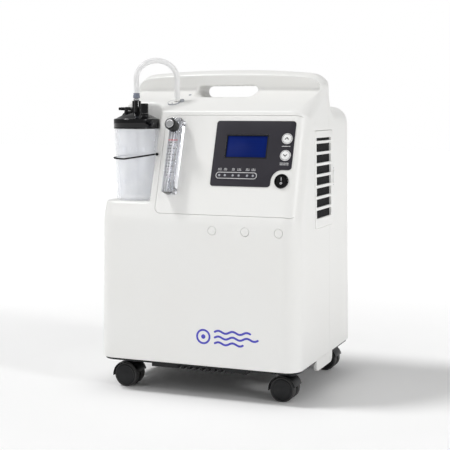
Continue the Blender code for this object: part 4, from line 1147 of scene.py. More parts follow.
class OBJECT_OT_keys(bpy.types.Operator):
    """Two round keys, each with a dark chevron"""

    bl_idname = "concentrator.keys"
    bl_label = "Keys"

    def execute(self, context):
        ink = sizes().ink
        cap = [(0, -7.0), (9.8, -7.0), (9.8, 0.9), (9.5, 1.25), (8.9, 1.3), (8.5, 1.0), (8.2, 0.95),
               (7.9, 1.2), (7.7, 1.6), (7.2, 1.85), (4.0, 2.05), (0, 2.1)]
        for name, along, way in (("button_up", KEY_UP, 1), ("button_down", KEY_DOWN, -1)):
            place_piece(f"{name}_cap", at_panel(turned(cap, 64), KEY_X, along), name, finish("key"), name,
                        40)
            rim = turned([(8.15, 0.9), (8.75, 0.9), (8.75, 1.2 + ink), (8.15, 1.05 + ink)], 64)
            place_piece(f"{name}_ring", at_panel(rim, KEY_X, along), name, finish("dim_ink"), ())
            leg = np.linspace(0, 1, 5)[:, None]
            tip, reach = np.array([0.0, 1.9 * way]), np.array([3.0, -1.4 * way])
            left = tip + leg * (reach * (-1, 1) - tip)
            chevron = np.vstack([left[::-1], (tip + leg * (reach - tip))[1:]])
            place_piece(f"{name}_chevron", at_panel(stroke(chevron, 1.5, 1.9, 2.1 + ink), KEY_X, along),
                        name, finish("black_ink"), ())
        return {"FINISHED"}


class OBJECT_OT_mains_switch(bpy.types.Operator):
    """Round rocker switch: bezel, dished rocker, and its line and ring marks"""

    bl_idname = "concentrator.mains_switch"
    bl_label = "Mains switch"

    def execute(self, context):
        bezel = [(10.4, -13.0), (11.6, -16.0), (11.6, 0.3), (13.0, 0.3), (13.2, 0.6), (13.1, 1.6),
                 (12.5, 2.5), (11.7, 3.0), (11.1, 2.9), (10.6, 2.3), (10.4, 1.2)]
        place_piece("switch_bezel_ring", at_panel(turned(bezel, 72), SWITCH_X, SWITCH_S), "cabinet",
                    finish("gloss"), "switch_bezel", 40)
        tilt = math.radians(7.0)

        def rock(points):
            """Dish the top by 1.1 mm at its two ends, then tilt about the cross pin."""
            x, y, z = np.moveaxis(points, -1, 0)
            z = z + np.where(z > 0, 1.1 * (y / 9.4) ** 2 - 0.5, 0)
            y, z = y * math.cos(tilt) - z * math.sin(tilt), y * math.sin(tilt) + z * math.cos(tilt)
            return panel(np.stack([x + SWITCH_X, y + SWITCH_S, z - 0.2], -1))

        radii = np.concatenate([np.linspace(0.0, 8.6, 12), [9.0, 9.3, 9.4]])
        top = [(r, 3.2 if r < 9 else 3.2 - (r - 8.9) * 0.7) for r in radii]
        cap = turned([(0, -3.2), (9.0, -3.2), (9.4, -2.8), *top[::-1]], 56)
        place_piece("switch_rocker_cap", moved(cap, rock), "switch_rocker", finish("gloss"),
                    "switch_rocker", 50)
        line = stroke([(0.0, y) for y in np.linspace(1.2, 6.0, 6)], 1.0, 3.2, 3.28)
        ring = turned([(1.2, 3.2), (2.1, 3.2), (2.1, 3.28), (1.2, 3.28)], 32)
        marks = merged(line, copies(ring, [(0.0, -3.6, 0.0)]))
        place_piece("switch_marks", moved(marks, rock), "switch_rocker", finish("white_ink"),
                    ())
        return {"FINISHED"}


# The flowmeter block (left, right, foot, head), its depth, its bore and knob, and its printed scale.
FLOW = (-62.0, -41.0, 47.5, 187.6)
FLOW_DEPTH = 23.0
BORE_X, BORE_OUT, BORE_R = -51.5, 12.0, 3.6
KNOB_X, KNOB_S = -52.5, 169.5
SCALE_MARKS, SCALE_FOOT, SCALE_STEP, SCALE_LINE = 12, 78.4, 5.6, 1.15
FULL_FLOW = 144.8


def along_bore(part):
    """A shape drawn about Z laid along the flowmeter's bore, its Z up the slope."""
    return moved(part, lambda p: panel(np.stack(
        [BORE_X + p[..., 0], p[..., 2], BORE_OUT - p[..., 1]], -1)))


class OBJECT_OT_flowmeter(bpy.types.Operator):
    """Clear flowmeter block with its bore, ball, fittings and printed scale"""

    bl_idname = "concentrator.flowmeter"
    bl_label = "Flowmeter"

    def execute(self, context):
        x0, x1, s0, s1 = FLOW
        body = plate(box_outline(x0, x1, s0, s1, 1.6), 0.3, FLOW_DEPTH, 0.9, 0.5)
        body = make_mesh("block", moved(body, panel))
        taper = turned([(0, 52.0), (BORE_R, 52.0), (BORE_R, 64.0), (3.45, 66.0), (BORE_R, 70.0),
                        (BORE_R + 0.3, 158.0), (3.0, 160.0), (3.0, 183.0), (0, 183.0)], 32)
        port = turned([(0, 13.0), (4.4, 13.0), (4.4, 40.0), (0, 40.0)], 32)
        back = [at_panel(turned([(0, -4.0), (3.2, -4.0), (3.2, 7.5), (0, 8.6)], 24), BORE_X, s)
                for s in (57.0, 181.0)]
        for cutter in (along_bore(taper), at_panel(port, KNOB_X, KNOB_S), merged(*back)):
            body = cut_all(body, cutter)
        place_piece("flowmeter_body", body, "cabinet", finish("acrylic"), "flowmeter_block",
                    30)
        radius = span("flow_float")[1][0] - middle("flow_float")[0]
        place_piece("flow_ball", copies(ball(radius, 17, 32), [middle("flow_float")]), "flow_float",
                    finish("steel"), "flow_float")
        seat = [(0, 53.0), (3.1, 53.0), (3.1, 55.0), (2.4, 55.6), (2.4, 57.6), (3.1, 58.2),
                (3.1, 63.5), (1.5, 65.2), (0, 65.6)]
        place_piece("flow_seat_fitting", along_bore(turned(seat, 32)), "cabinet", finish("steel"),
                    "flow_seat", 30)
        stop = [(0, 160.4), (2.7, 160.6), (2.7, 165.0), (2.1, 165.6), (2.1, 168.0), (2.7, 168.6),
                (2.7, 182.0), (0, 182.0)]
        place_piece("flow_top_fitting", along_bore(turned(stop, 32)), "cabinet", finish("steel"), (),
                    30)
        stub = turned([(0, -3.0), (2.8, -3.0), (2.8, 2.0), (2.2, 2.4), (2.2, 4.6), (2.8, 5.0), (2.8, 7.0),
                       (0, 8.0)], 24)
        place_piece("flow_ports", merged(*[at_panel(stub, BORE_X, s) for s in (57.0, 181.0)]), "cabinet",
                    finish("chrome"), (), 30)
        screw = turned([(0, 0.9), (2.3, 0.9), (2.3, 1.4), (1.9, 2.2), (0, 2.4)], 20)
        corners = [(x, s, FLOW_DEPTH - 0.9) for x, s in ((-44.4, 183.4), (-44.4, 52.0), (-58.6, 52.0))]
        place_piece("flow_screws", moved(copies(screw, corners), panel), "cabinet", finish("steel"), (),
                    30)
        low, high = FLOW_DEPTH - INK_SUNK, FLOW_DEPTH + sizes().ink
        marks = []
        for step in range(SCALE_MARKS):
            s = SCALE_FOOT + step * SCALE_STEP
            major = step % 2 == 1
            left = BORE_X - (9.0 if major else 6.8)
            marks.append(stroke([(left, s), (BORE_X - 1.8, s)], SCALE_LINE, low, high))
            if major:
                marks.append(stroke([(BORE_X + 2.6, s), (BORE_X + 5.6, s)], SCALE_LINE, low, high))
                place = (BORE_X + 8.2, s, (low + high) / 2)
                marks.append(copies(numeral(str(step // 2), 4.4, high - low), [place]))
        full = stroke([(BORE_X - 9.2, FULL_FLOW), (BORE_X + 8.8, FULL_FLOW)], 1.3, low, high)
        for name, part, look in (("scale_marks", merged(*marks), "black_ink"),
                                 ("scale_red_line", full, "red_ink")):
            place_piece(name, moved(part, panel), "cabinet", finish(look), ())
        return {"FINISHED"}


class OBJECT_OT_flow_knob(bpy.types.Operator):
    """Fluted needle valve knob with its chromed cap"""

    bl_idname = "concentrator.flow_knob"
    bl_label = "Flow knob"

    def execute(self, context):
        flutes = sizes().flutes
        angle = np.arange(flutes * 6) * 2 * math.pi / (flutes * 6)
        profile = np.array([
            (3.9, 14.0), (3.9, 23.5), (9.6, 23.5), (10.1, 24.2), (10.3, 25.0), (10.5, 27.0), (10.5, 42.6),
            (10.2, 44.0), (9.6, 44.8), (9.0, 45.0), (8.3, 44.9), (8.3, 43.2), (3.9, 43.2), (0, 43.2),
            (0, 14.0),
        ])
        grip = np.array([0, 0, 0, 0, 0.3, 1, 1, 0.5, 0.1, 0, 0, 0, 0, 0, 0])
        groove = 0.42 * (0.5 + 0.5 * np.cos(flutes * angle)) ** 2
        radius = profile[:, :1] - grip[:, None] * groove[None, :]
        points = np.stack([radius * np.cos(angle), radius * np.sin(angle),
                           np.repeat(profile[:, 1:], len(angle), 1)], -1)
        knob = surface(points, wrap_u=True, wrap_v=True)
        place_piece("flow_knob_grip", at_panel(knob, KNOB_X, KNOB_S), "flow_knob", finish("satin"),
                    "flow_knob", 40)
        cap = [(0, 43.5), (8.0, 43.5), (8.0, 45.6), (7.6, 46.2), (6.6, 46.2), (6.2, 45.9), (5.9, 45.7),
               (5.0, 45.65), (0, 45.9)]
        place_piece("flow_knob_cap", at_panel(turned(cap, 72), KNOB_X, KNOB_S), "flow_knob",
                    finish("chrome"), "knob_cap", 30)
        return {"FINISHED"}


# ------------------------------------------------------------------ side covers

SLOT_FOOT, SLOT_PITCH, SLOT_TALL = 326.0, 20.4, 15.1


class OBJECT_OT_side_covers(bpy.types.Operator):
    """Intake door with its foam and catch on the right, and the outlet cover on the left"""

    bl_idname = "concentrator.side_covers"
    bl_label = "Side covers"

    def execute(self, context):
        y0, y1, z0, z1 = DOOR
        # Seven tall slots at an even pitch, and a short one above the last.
        feet = [SLOT_FOOT + SLOT_PITCH * i for i in range(7)]
        rows = [(low, low + SLOT_TALL) for low in feet] + [(468.6, 474.0)]
        slots = [box_outline(-61.5, 31.0, low, high, 0.9, 4) for low, high in rows]
        outline = rounded([(y0, z0, 3), (y1, z0, 3), (y1, z1, 8), (y0, z1, 3)], 8)
        cover = make_mesh("cover", moved(plate(outline, -2.8, 1.0, 0.9, 0.0, 6), right_wall))
        cover = cut_all(cover, *[moved(flared(slot, -6.0, 1.0, 0.4), right_wall) for slot in slots])
        place_piece("intake_door", cover, "filter_door", finish("case"), "filter_door", 30)
        foam = plate(box_outline(y0 + 2, y1 - 2, z0 + 3, z1 - 3, 2.0), -14.5, -3.2, 1.5, 1.5)
        place_piece("intake_foam", moved(foam, right_wall), "filter_door", finish("foam"), "filter_foam")
        catch = plate(box_outline(46.5, 56.0, 386.0, 411.0, 2.0), 0.3, 1.9, 0.8)
        rib = moved(turned([(0, 1.6), (0.45, 1.6), (0.45, 2.1), (0, 2.3)], 12),
                    lambda points: points * (7.0, 1.0, 1.0))
        ribs = copies(rib, [(51.2, z, 0.0) for z in (393.0, 395.5, 398.0, 400.5, 403.0)])
        place_piece("door_catch", moved(catch, right_wall), "door_latch", finish("case"), "door_latch")
        place_piece("door_catch_ribs", moved(ribs, right_wall), "door_latch", finish("case"), ())
        dot = turned([(0, -0.6), (1.3, -0.6), (1.3, 0.1), (1.0, 0.3), (0, 0.35)], 20)
        dots = copies(dot, [(51.2, z, 0.0) for z in (382.6, 414.4)])
        place_piece("door_catch_stops", moved(dots, right_wall), "cabinet", finish("grey"), ())
        y0, y1, z0, z1 = VENT
        outline = box_outline(y0, y1, z0, z1, 6.0, 8)
        mid = (z0 + z1) / 2
        slots = [box_outline(-58.0, 38.0, mid - 44.0 + 16.0 * i, mid - 36.0 + 16.0 * i, 3.9, 8)
                 for i in range(6)]
        cover = make_mesh("cover", moved(plate(outline, -2.6, 0.8, 0.7, 0.0, 6), left_wall))
        cover = cut_all(cover, *[moved(flared(slot, -6.0, 0.8, 0.4), left_wall) for slot in slots])
        place_piece("outlet_cover", cover, "cabinet", finish("case"), "exhaust_cover", 30)
        return {"FINISHED"}


# ------------------------------------------------------------------ the humidifier

def bottle_radius(height):
    """Outside radius of the bottle's drafted wall: 38.9 at its foot and 2.3 more 128.6 higher."""
    return 38.9 + (height - 361.0) / 128.6 * 2.3


def on_bottle(profile, *steps):
    """A profile turned about the bottle's own axis."""
    return upright(turned(profile, *steps), BOTTLE_X, BOTTLE_Y)


def raised_bar(level, bearing, wide, tall=9.0, proud=0.35):
    """A raised level bar on the bottle's wall, centred at a height and a bearing in degrees.

    Over u across and v up, both from -1 to 1, it stands proud by proud (1 - u^4) (1 - v^4).
    """
    u = np.linspace(-1, 1, 7)[:, None]
    v = np.linspace(-1, 1, 5)[None, :]
    height = level + tall / 2 * v + 0 * u
    radius = bottle_radius(height) + proud * (1 - u ** 4) * (1 - v ** 4) - 0.05
    turn = math.radians(bearing) + u * wide / 40.0
    face = np.stack([radius * np.cos(turn), radius * np.sin(turn), height], -1)
    back = face * (0.992, 0.992, 1.0)
    return capped(np.concatenate([face, back[:, ::-1]], 1))


class OBJECT_OT_bottle(bpy.types.Operator):
    """Frosted humidifier bottle with its dip tube and diffuser"""

    bl_idname = "concentrator.bottle"
    bl_label = "Humidifier bottle"

    def execute(self, context):
        foot = span("humidifier_jar")[0][2]
        outside = [(0, foot + 2.0), (29.5, foot + 2.0), (31.0, foot + 1.2), (32.0, foot), (35.4, foot),
                   (37.2, foot + 1.0), (38.4, foot + 2.8), (38.9, foot + 5.2), (39.1, foot + 12.0)]
        for z in (372.0, 430.0, 438.6, 439.4, 441.0, 441.8, 470.0):
            outside.append((bottle_radius(z) - (0.5 if 439 < z < 441.5 else 0.0), z))
        outside += [(41.2, 486.0), (41.15, 488.6), (40.7, 489.6), (39.6, 489.6), (39.6, 492.0),
                    (39.9, 493.0), (39.9, 494.4), (39.5, 495.4), (39.6, 504.0)]
        inside = [(37.4, 504.0), (37.4, 487.0), (38.7, 483.0), (36.9, 378.0), (36.6, foot + 9.0),
                  (35.2, foot + 6.6), (32.0, foot + 5.8), (28.0, foot + 5.0), (0, foot + 4.4)]
        place_piece("bottle_jar", on_bottle(outside + inside, 96),
                    "humidifier_bottle", finish("jar"), "humidifier_jar", 40)
        marks = [raised_bar(level, -150.0 + k * 17.0, 1.3 if k % 3 else 3.2)
                 for level in (452.0, 394.0) for k in range(7)]
        place_piece("bottle_marks", upright(merged(*marks), BOTTLE_X, BOTTLE_Y), "humidifier_bottle",
                    finish("jar"), (), 60)
        tube = [(2.0, 377.0), (3.2, 377.0), (3.2, 516.0), (2.0, 516.0)]
        place_piece("dip_tube_pipe", on_bottle(tube, 28), "humidifier_cap",
                    finish("silicone"), "dip_tube")
        stone = [(0, 366.5), (4.6, 366.5), (5.4, 367.3), (5.4, 375.2), (4.6, 376.0), (3.4, 376.6),
                 (0, 376.6)]
        place_piece("bubble_stone", on_bottle(stone, 36, 0.02, 12),
                    "humidifier_cap", finish("key"), (), 40)
        return {"FINISHED"}


class OBJECT_OT_bottle_lid(bpy.types.Operator):
    """Gloss black lid with its posts, barbed outlet, relief cap and inlet nut"""

    bl_idname = "concentrator.bottle_lid"
    bl_label = "Humidifier lid"

    def execute(self, context):
        bowl = [(0, 517.8), (20.0, 513.6), (38.0, 505.6), (40.1, 505.0), (40.1, 490.2), (42.4, 490.2),
                (43.0, 490.8), (43.0, 492.0), (42.7, 492.5), (43.0, 493.0), (43.0, 506.8),
                (42.7, 507.7), (42.0, 508.4), (40.4, 508.7), (38.6, 509.1), (34.5, 511.4),
                (29.5, 513.9), (24.0, 516.2), (18.0, 518.4), (12.0, 520.1), (9.4, 521.0), (0, 521.4)]
        post = [(0, 518.0), (9.2, 518.0), (8.6, 520.6), (8.2, 521.4), (8.2, 540.6), (7.8, 541.6),
                (7.0, 542.0), (4.4, 542.0), (4.0, 542.6), (4.0, 550.6), (3.6, 551.0), (0, 551.0)]
        boss = [(0, 507.0), (8.2, 507.0), (7.8, 514.0), (7.4, 515.4), (7.4, 518.1), (7.1, 518.4),
                (0, 518.4)]
        barb = [(0, 0), (4.6, 7.0), (3.4, 7.6), (3.3, 24.0), (2.6, 24.6), (3.3, 28.5), (2.5, 28.6),
                (3.2, 32.5), (2.4, 32.6), (2.9, 36.2), (2.5, 36.8), (0, 36.8)]
        elbow = [(0, 510.0), (4.0, 510.0), (3.6, 515.0), (3.4, 528.6), (2.6, 530.0), (1.2, 530.5),
                 (0, 530.6)]
        parts = [make_mesh("lid", on_bottle(bowl, 96))]
        for shape, x, y in ((post, BOTTLE_X, BOTTLE_Y), (boss, *RELIEF),
                            (elbow, BOTTLE_X - 22.0, BOTTLE_Y)):
            parts.append(make_mesh("post", upright(turned(shape, 48), x, y)))
        nozzle = copies(moved(turned(barb, 36), along_minus_x), [(BOTTLE_X, BOTTLE_Y + SHIFT_Y, 527.0)])
        parts.append(make_mesh("nozzle", nozzle))
        vane = np.array([(-34.0, 510.6), (-8.0, 517.0), (-8.0, 524.0), (-22.0, 522.0), (-27.0, 519.0)])
        slab = moved(prism_between(vane, -1.1, 1.1), lambda p: np.stack(
            [BOTTLE_X + p[..., 0], BOTTLE_Y + SHIFT_Y + p[..., 2], p[..., 1]], -1))
        parts.append(make_mesh("vane", slab))
        place_piece("bottle_lid", joined(*parts), "humidifier_cap", finish("gloss"), "humidifier_lid",
                    32)
        relief = [(0, 518.7), (6.8, 518.7), (7.2, 519.2), (7.2, 535.2), (6.9, 536.2), (6.2, 536.8),
                  (5.0, 537.0), (4.6, 536.6), (0, 536.4)]
        place_piece("relief_valve_cap", upright(turned(relief, 60), *RELIEF), "humidifier_cap",
                    finish("gloss"), "relief_cap", 32)
        collar = [(4.15, 542.4), (5.6, 542.4), (5.9, 542.8), (5.9, 544.6), (5.5, 545.2), (4.9, 545.4),
                  (4.9, 546.2), (4.15, 546.2)]
        place_piece("inlet_collar", on_bottle(collar, 48), "humidifier_cap",
                    finish("chrome"), (), 30)
        nut = [(4.3, 546.6), (5.9, 546.6), (6.4, 547.2), (6.4, 551.8), (5.7, 552.6), (5.4, 553.4),
               (5.7, 554.0), (5.7, 555.8), (5.2, 556.4), (0, 556.4), (0, 551.5), (4.3, 551.5)]
        place_piece("inlet_nut_ring", on_bottle(nut, 72, 0.025, 18),
                    "inlet_swivel", finish("nut"), "inlet_nut", 40)
        return {"FINISHED"}


def on_flange(points):
    """A shape drawn about Z set on the ledge where the outlet's flange is."""
    return on_ledge(points, *FLANGE)


class OBJECT_OT_outlet(bpy.types.Operator):
    """Oxygen outlet on the ledge: flange, nipple, its small screw and the blanking cap beside it"""

    bl_idname = "concentrator.outlet"
    bl_label = "Oxygen outlet"

    def execute(self, context):
        flange = [(0, 0.3), (10.4, 0.3), (10.4, 2.1), (9.8, 2.3), (8.6, 2.3), (8.2, 2.1), (7.6, 2.1),
                  (0, 2.2)]
        ring = turned([(10.5, 0.3), (11.5, 0.3), (11.5, 1.6), (11.2, 2.2), (10.9, 2.4), (10.5, 2.3)], 72)
        place_piece("outlet_ring", moved(ring, on_flange), "cabinet",
                    finish("grey"), ())
        plate_part = moved(turned(flange, 72), on_flange)
        nipple = [(0, 541.2), (5.6, 541.2), (5.4, 542.6), (4.2, 543.2), (4.2, 545.7), (0, 545.7)]
        stub = upright(turned(nipple, 40), NIPPLE_X, NIPPLE_Y)
        whole = joined(make_mesh("flange", plate_part), make_mesh("stub", stub))
        place_piece("outlet_flange_disc", whole, "cabinet", finish("case"), "outlet_flange",
                    32)
        liner = [(1.7, 546.1), (3.0, 546.1), (3.0, 560.0), (2.6, 561.0), (1.7, 561.0)]
        place_piece("outlet_liner", upright(turned(liner, 32), NIPPLE_X, NIPPLE_Y), "cabinet",
                    finish("grey"), ())
        pin = turned([(0, 2.2), (1.5, 2.2), (1.5, 2.7), (1.1, 3.0), (0, 3.05)], 24)
        place_piece("outlet_screw", moved(copies(pin, [(-0.4, -6.4, 0)]), on_flange), "cabinet",
                    finish("steel"), ())
        cap = [(0, 0.3), (4.3, 0.3), (4.3, 2.9), (3.9, 3.8), (3.2, 4.2), (2.6, 4.1), (2.2, 3.6),
               (0, 3.5)]
        place_piece("ledge_cap", moved(turned(cap, 48), lambda p: on_ledge(p, *LEDGE_CAP)), "cabinet",
                    finish("grey"), "ledge_screw", 32)
        return {"FINISHED"}


# ------------------------------------------------------------------ casters and underside

def caster_hood_part():
    """Hood, web, axle and stem about the axle, each a closed shape, joined into one."""
    turn = np.radians(np.linspace(14, 186, 40))
    across = np.linspace(0, 1, 9)
    half = 20.0
    rise = 0.9 * np.sin(math.pi * across) ** 0.5
    # The hood's band: 24.3 mm inside, 25.7 at its edges and 0.63 mm fuller along its middle.
    section = [(half * (2 * a - 1), 24.3 + 1.4 + r * 0.7) for a, r in zip(across, rise)]
    section += [(half * (2 * a - 1), 24.3) for a in across[::-1]]
    section = np.array(section)
    hood = np.stack([section[None, :, 1] * np.cos(turn)[:, None], np.repeat(section[None, :, 0], 40, 0),
                     section[None, :, 1] * np.sin(turn)[:, None]], -1)
    tongue_path = np.stack([np.full(12, -25.3), np.linspace(-half + 0.6, half - 0.6, 12),
                            np.full(12, -1.4)], -1)
    parts = [capped(hood), capped(swept(tongue_path, 1.2, 14))]
    web = moved(turned([(0, -4.4), (18.4, -4.4), (19.0, -3.8), (19.0, 3.8), (18.4, 4.4), (0, 4.4)], 40),
                along_y)
    rib = moved(prism_between(box_outline(-9.0, 12.0, 10.0, 25.0, 2.0), -4.4, 4.4), along_y_flat)
    axle = moved(turned([(0, -17.4), (4.0, -17.4), (4.0, 17.4), (0, 17.4)], 24), along_y)
    neck = [(0, 24.0), (10.2, 24.0), (10.2, 31.0), (9.4, 33.0), (5.0, 33.0), (5.0, 52.6), (4.4, 53.0),
            (0, 53.0)]
    parts += [web, rib, axle, copies(turned(neck, 40), [(10.0, 0, 0)])]
    return joined(*[make_mesh("hood", part) for part in parts])


def along_y_flat(points):
    """A slab drawn in X and Z with its thickness along Z set upright, its thickness along Y."""
    x, y, z = np.moveaxis(points, -1, 0)
    return np.stack([x, z, y], -1)


def displaced(mesh, offset):
    """A copy of a mesh moved by an offset in millimetres."""
    copy = mesh.copy()
    copy.vertices.foreach_set("co", (shift(points_of(mesh), offset) * MM).ravel())
    copy.update()
    return copy


class OBJECT_OT_casters(bpy.types.Operator):
    """Four twin-wheel casters: hood, two wheels and their tyres"""

    bl_idname = "concentrator.casters"
    bl_label = "Casters"

    def execute(self, context):
        hood = caster_hood_part()
        wheel = [(4.5, 5.2), (17.5, 5.2), (18.2, 6.0), (19.4, 6.2), (19.4, 17.4), (20.2, 18.9),
                 (18.8, 19.5), (17.2, 19.6), (16.7, 19.2), (16.2, 18.9), (12.0, 19.1), (5.6, 19.5),
                 (4.8, 19.7), (0, 19.8), (0, 18.0), (4.5, 18.0)]
        tyre = [(19.5, 5.6), (22.0, 5.6), (22.7, 6.0), (23.0, 6.8), (23.0, 10.6), (22.6, 11.0),
                (22.6, 12.2), (23.0, 12.6), (23.0, 16.8), (22.7, 17.9), (21.8, 18.7), (20.4, 18.8),
                (19.5, 17.3)]
        for end in ("front", "rear"):
            for side in ("left", "right"):
                place = f"{end}_{side}"
                pair = [middle(f"caster_wheel_{place}_{label}") for label in "ab"]
                centre = pair[0] * (1, 0, 1) + (0, (pair[0][1] + pair[1][1]) / 2, 0)
                place_piece(f"caster_fork_{place}", displaced(hood, centre), f"caster_{place}",
                            finish("satin"), f"caster_hood_{place}", 30)
                for label, sign in (("a", -1), ("b", 1)):
                    for name, profile, look, stands in (
                        ("disc", wheel, "nylon", True), ("tyre", tyre, "tyre", False),
                    ):
                        part = moved(turned(profile, 72), lambda points: shift(
                            along_y(points) * (1, sign, 1), centre))
                        place_piece(f"caster_{name}_{place}_{label}", part, f"wheel_{place}_{label}",
                                    finish(look), f"caster_wheel_{place}_{label}" if stands else (),
                                    30)
        return {"FINISHED"}


# ------------------------------------------------------------------ rear, underside and the mark

class OBJECT_OT_mains_inlet(bpy.types.Operator):
    """Mains inlet on the rear wall, with its flange, shroud and three blades"""

    bl_idname = "concentrator.mains_inlet"
    bl_label = "Mains inlet"

    def execute(self, context):
        x, z = INLET
        low, high = span("power_inlet")

        def on_rear(points):
            """Local X to the left as seen from behind, local Y up, local Z out of the rear wall."""
            across, up, out = np.moveaxis(np.asarray(points, float), -1, 0)
            return np.stack([x - across, high[1] + out, z + up], -1)

        body = plate(box_outline(-24, 24, -14, 14, 2.5), low[1] - high[1], 0.0, 0.6)
        body = make_mesh("inlet", moved(body, on_rear))
        throat = rounded([(-12.5, -8.5, 1.5), (12.5, -8.5, 1.5), (12.5, 3.5, 1.0), (7.5, 8.5, 1.0),
                          (-7.5, 8.5, 1.0), (-12.5, 3.5, 1.0)], 6)
        body = cut_all(body, moved(flared(throat, -18.4, 0.0, 0.5), on_rear))
        place_piece("mains_socket", body, "cabinet", finish("satin"), "power_inlet", 30)
        blade = plate(box_outline(-1.0, 1.0, -2.0, 2.0, 0.3), -19.6, -4.4, 0.6)
        blades = copies(blade, [(-7.0, -1.5, 0), (0.0, 2.5, 0), (7.0, -1.5, 0)])
        place_piece("mains_blades", moved(blades, on_rear), "cabinet", finish("steel"), (), 30)
        head = [(0, -0.4), (2.7, -0.4), (2.6, 0.5), (1.9, 1.1), (0.9, 1.2), (0.8, 0.5), (0, 0.4)]
        heads = copies(turned(head, 28), [(-18.5, 0, 0), (18.5, 0, 0)])
        place_piece("mains_screws", moved(heads, on_rear), "cabinet", finish("steel"), (), 30)
        return {"FINISHED"}


class OBJECT_OT_front_mark(bpy.types.Operator):
    """Plain printed sign for air on the lower front: a ring and three waves"""

    bl_idname = "concentrator.front_mark"
    bl_label = "Front mark"

    def execute(self, context):
        ink = sizes().ink
        centre = (17.5, 116.5)
        ring = turned([(10.4, -INK_SUNK), (14.0, -INK_SUNK), (14.0, ink), (10.4, ink)], 72)
        ring = copies(ring, [(*centre, 0.0)])
        waves = []
        for level, stop in ((127.0, 108.0), (116.5, 122.5), (106.0, 94.0)):
            x = np.linspace(40.0, stop, 60)
            crest = level + 2.2 * np.sin((x - 40.0) / 27.5 * 2 * math.pi)
            waves.append(stroke(np.column_stack([x, crest]), 3.8, -INK_SUNK, ink))
        dot = disc(4.2, -INK_SUNK, ink, 0.03, 40, centre)
        place_piece("air_sign", moved(merged(ring, dot, *waves), on_front), "cabinet",
                    finish("indigo_ink"), ())
        return {"FINISHED"}


class OBJECT_OT_underside(bpy.types.Operator):
    """Ribs and screws of the black floor tray that show beneath the case"""

    bl_idname = "concentrator.underside"
    bl_label = "Underside"

    def execute(self, context):
        level = span("base_tray")[0][2]
        rails = merged(*[
            prism_between(box_outline(x0, x1, y - 2.5, y + 2.5, 2.0, 5), level - 3.0, level + 0.5)
            for x0, x1, y in ((-118.0, 104.0, -152.0), (-80.0, 80.0, 110.0))])
        place_piece("tray_rails", copies(rails, [(0, SHIFT_Y, 0)]), "cabinet", finish("satin"), (),
                    30)
        head = [(0, 0.3), (3.6, 0.3), (3.6, -0.8), (2.8, -1.8), (1.2, -2.0), (1.1, -1.0), (0, -0.9)]
        places = [(x, y, level) for x in (-120.0, 0.0, 120.0) for y in (-40.0, 60.0)]
        screws = copies(turned(head, 24), places)
        place_piece("tray_screws", screws, "cabinet", finish("steel"), (), 30)
        return {"FINISHED"}


class OBJECT_OT_frame_finishes(bpy.types.Operator):
    """Finishes of the frame's own parts: tray, vent, sheet metal, compressor, tanks, fan and board"""

    bl_idname = "concentrator.frame_finishes"
    bl_label = "Frame finishes"

    def execute(self, context):
        looks = {
            "satin": ("base_tray", "base_vent", "fan_frame", "fan_rotor", "intake_silencer"),
            "sheet": ("chassis_frame",),
            "aluminium": (
                "compressor", "sieve_tower_1", "sieve_tower_2", "product_tank", "valve_manifold"),
            "board": ("control_board",),
        }
        for look, names in looks.items():
            for name in names:
                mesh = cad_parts[name].data
                mesh.materials.clear()
                mesh.materials.append(finish(look))
        return {"FINISHED"}


# ------------------------------------------------------------------ stage and camera

# The camera: its lens in millimetres, its tilt up from straight down and its turn in degrees, and its
# place in metres.
CAMERA_LENS, CAMERA_TIP, CAMERA_TURN = 88.33, 83.994, 21.719
CAMERA_PLACE = (0.78274, -1.99223 + SHIFT_Y * MM, 0.52694)
# How bright the white surroundings are to a surface, and what a first mirror reflection takes of that.
SURROUNDINGS, MIRRORED = 0.44, 0.28
# Each far lamp: bearing, height and angular size in degrees, and strength.
SUNS = {"left": (198.0, 60.0, 14.0, 1.5), "right": (-16.0, 22.0, 10.0, 0.72)}


def stood(name, data, location, tip, bearing):
    """Studio equipment put in the scene, tipped up and then turned to a bearing, both in degrees."""
    item = bpy.data.objects.new(name, data)
    item.location = location
    item.rotation_euler = (math.radians(tip), 0.0, math.radians(bearing))
    bpy.context.scene.collection.objects.link(item)
    return item


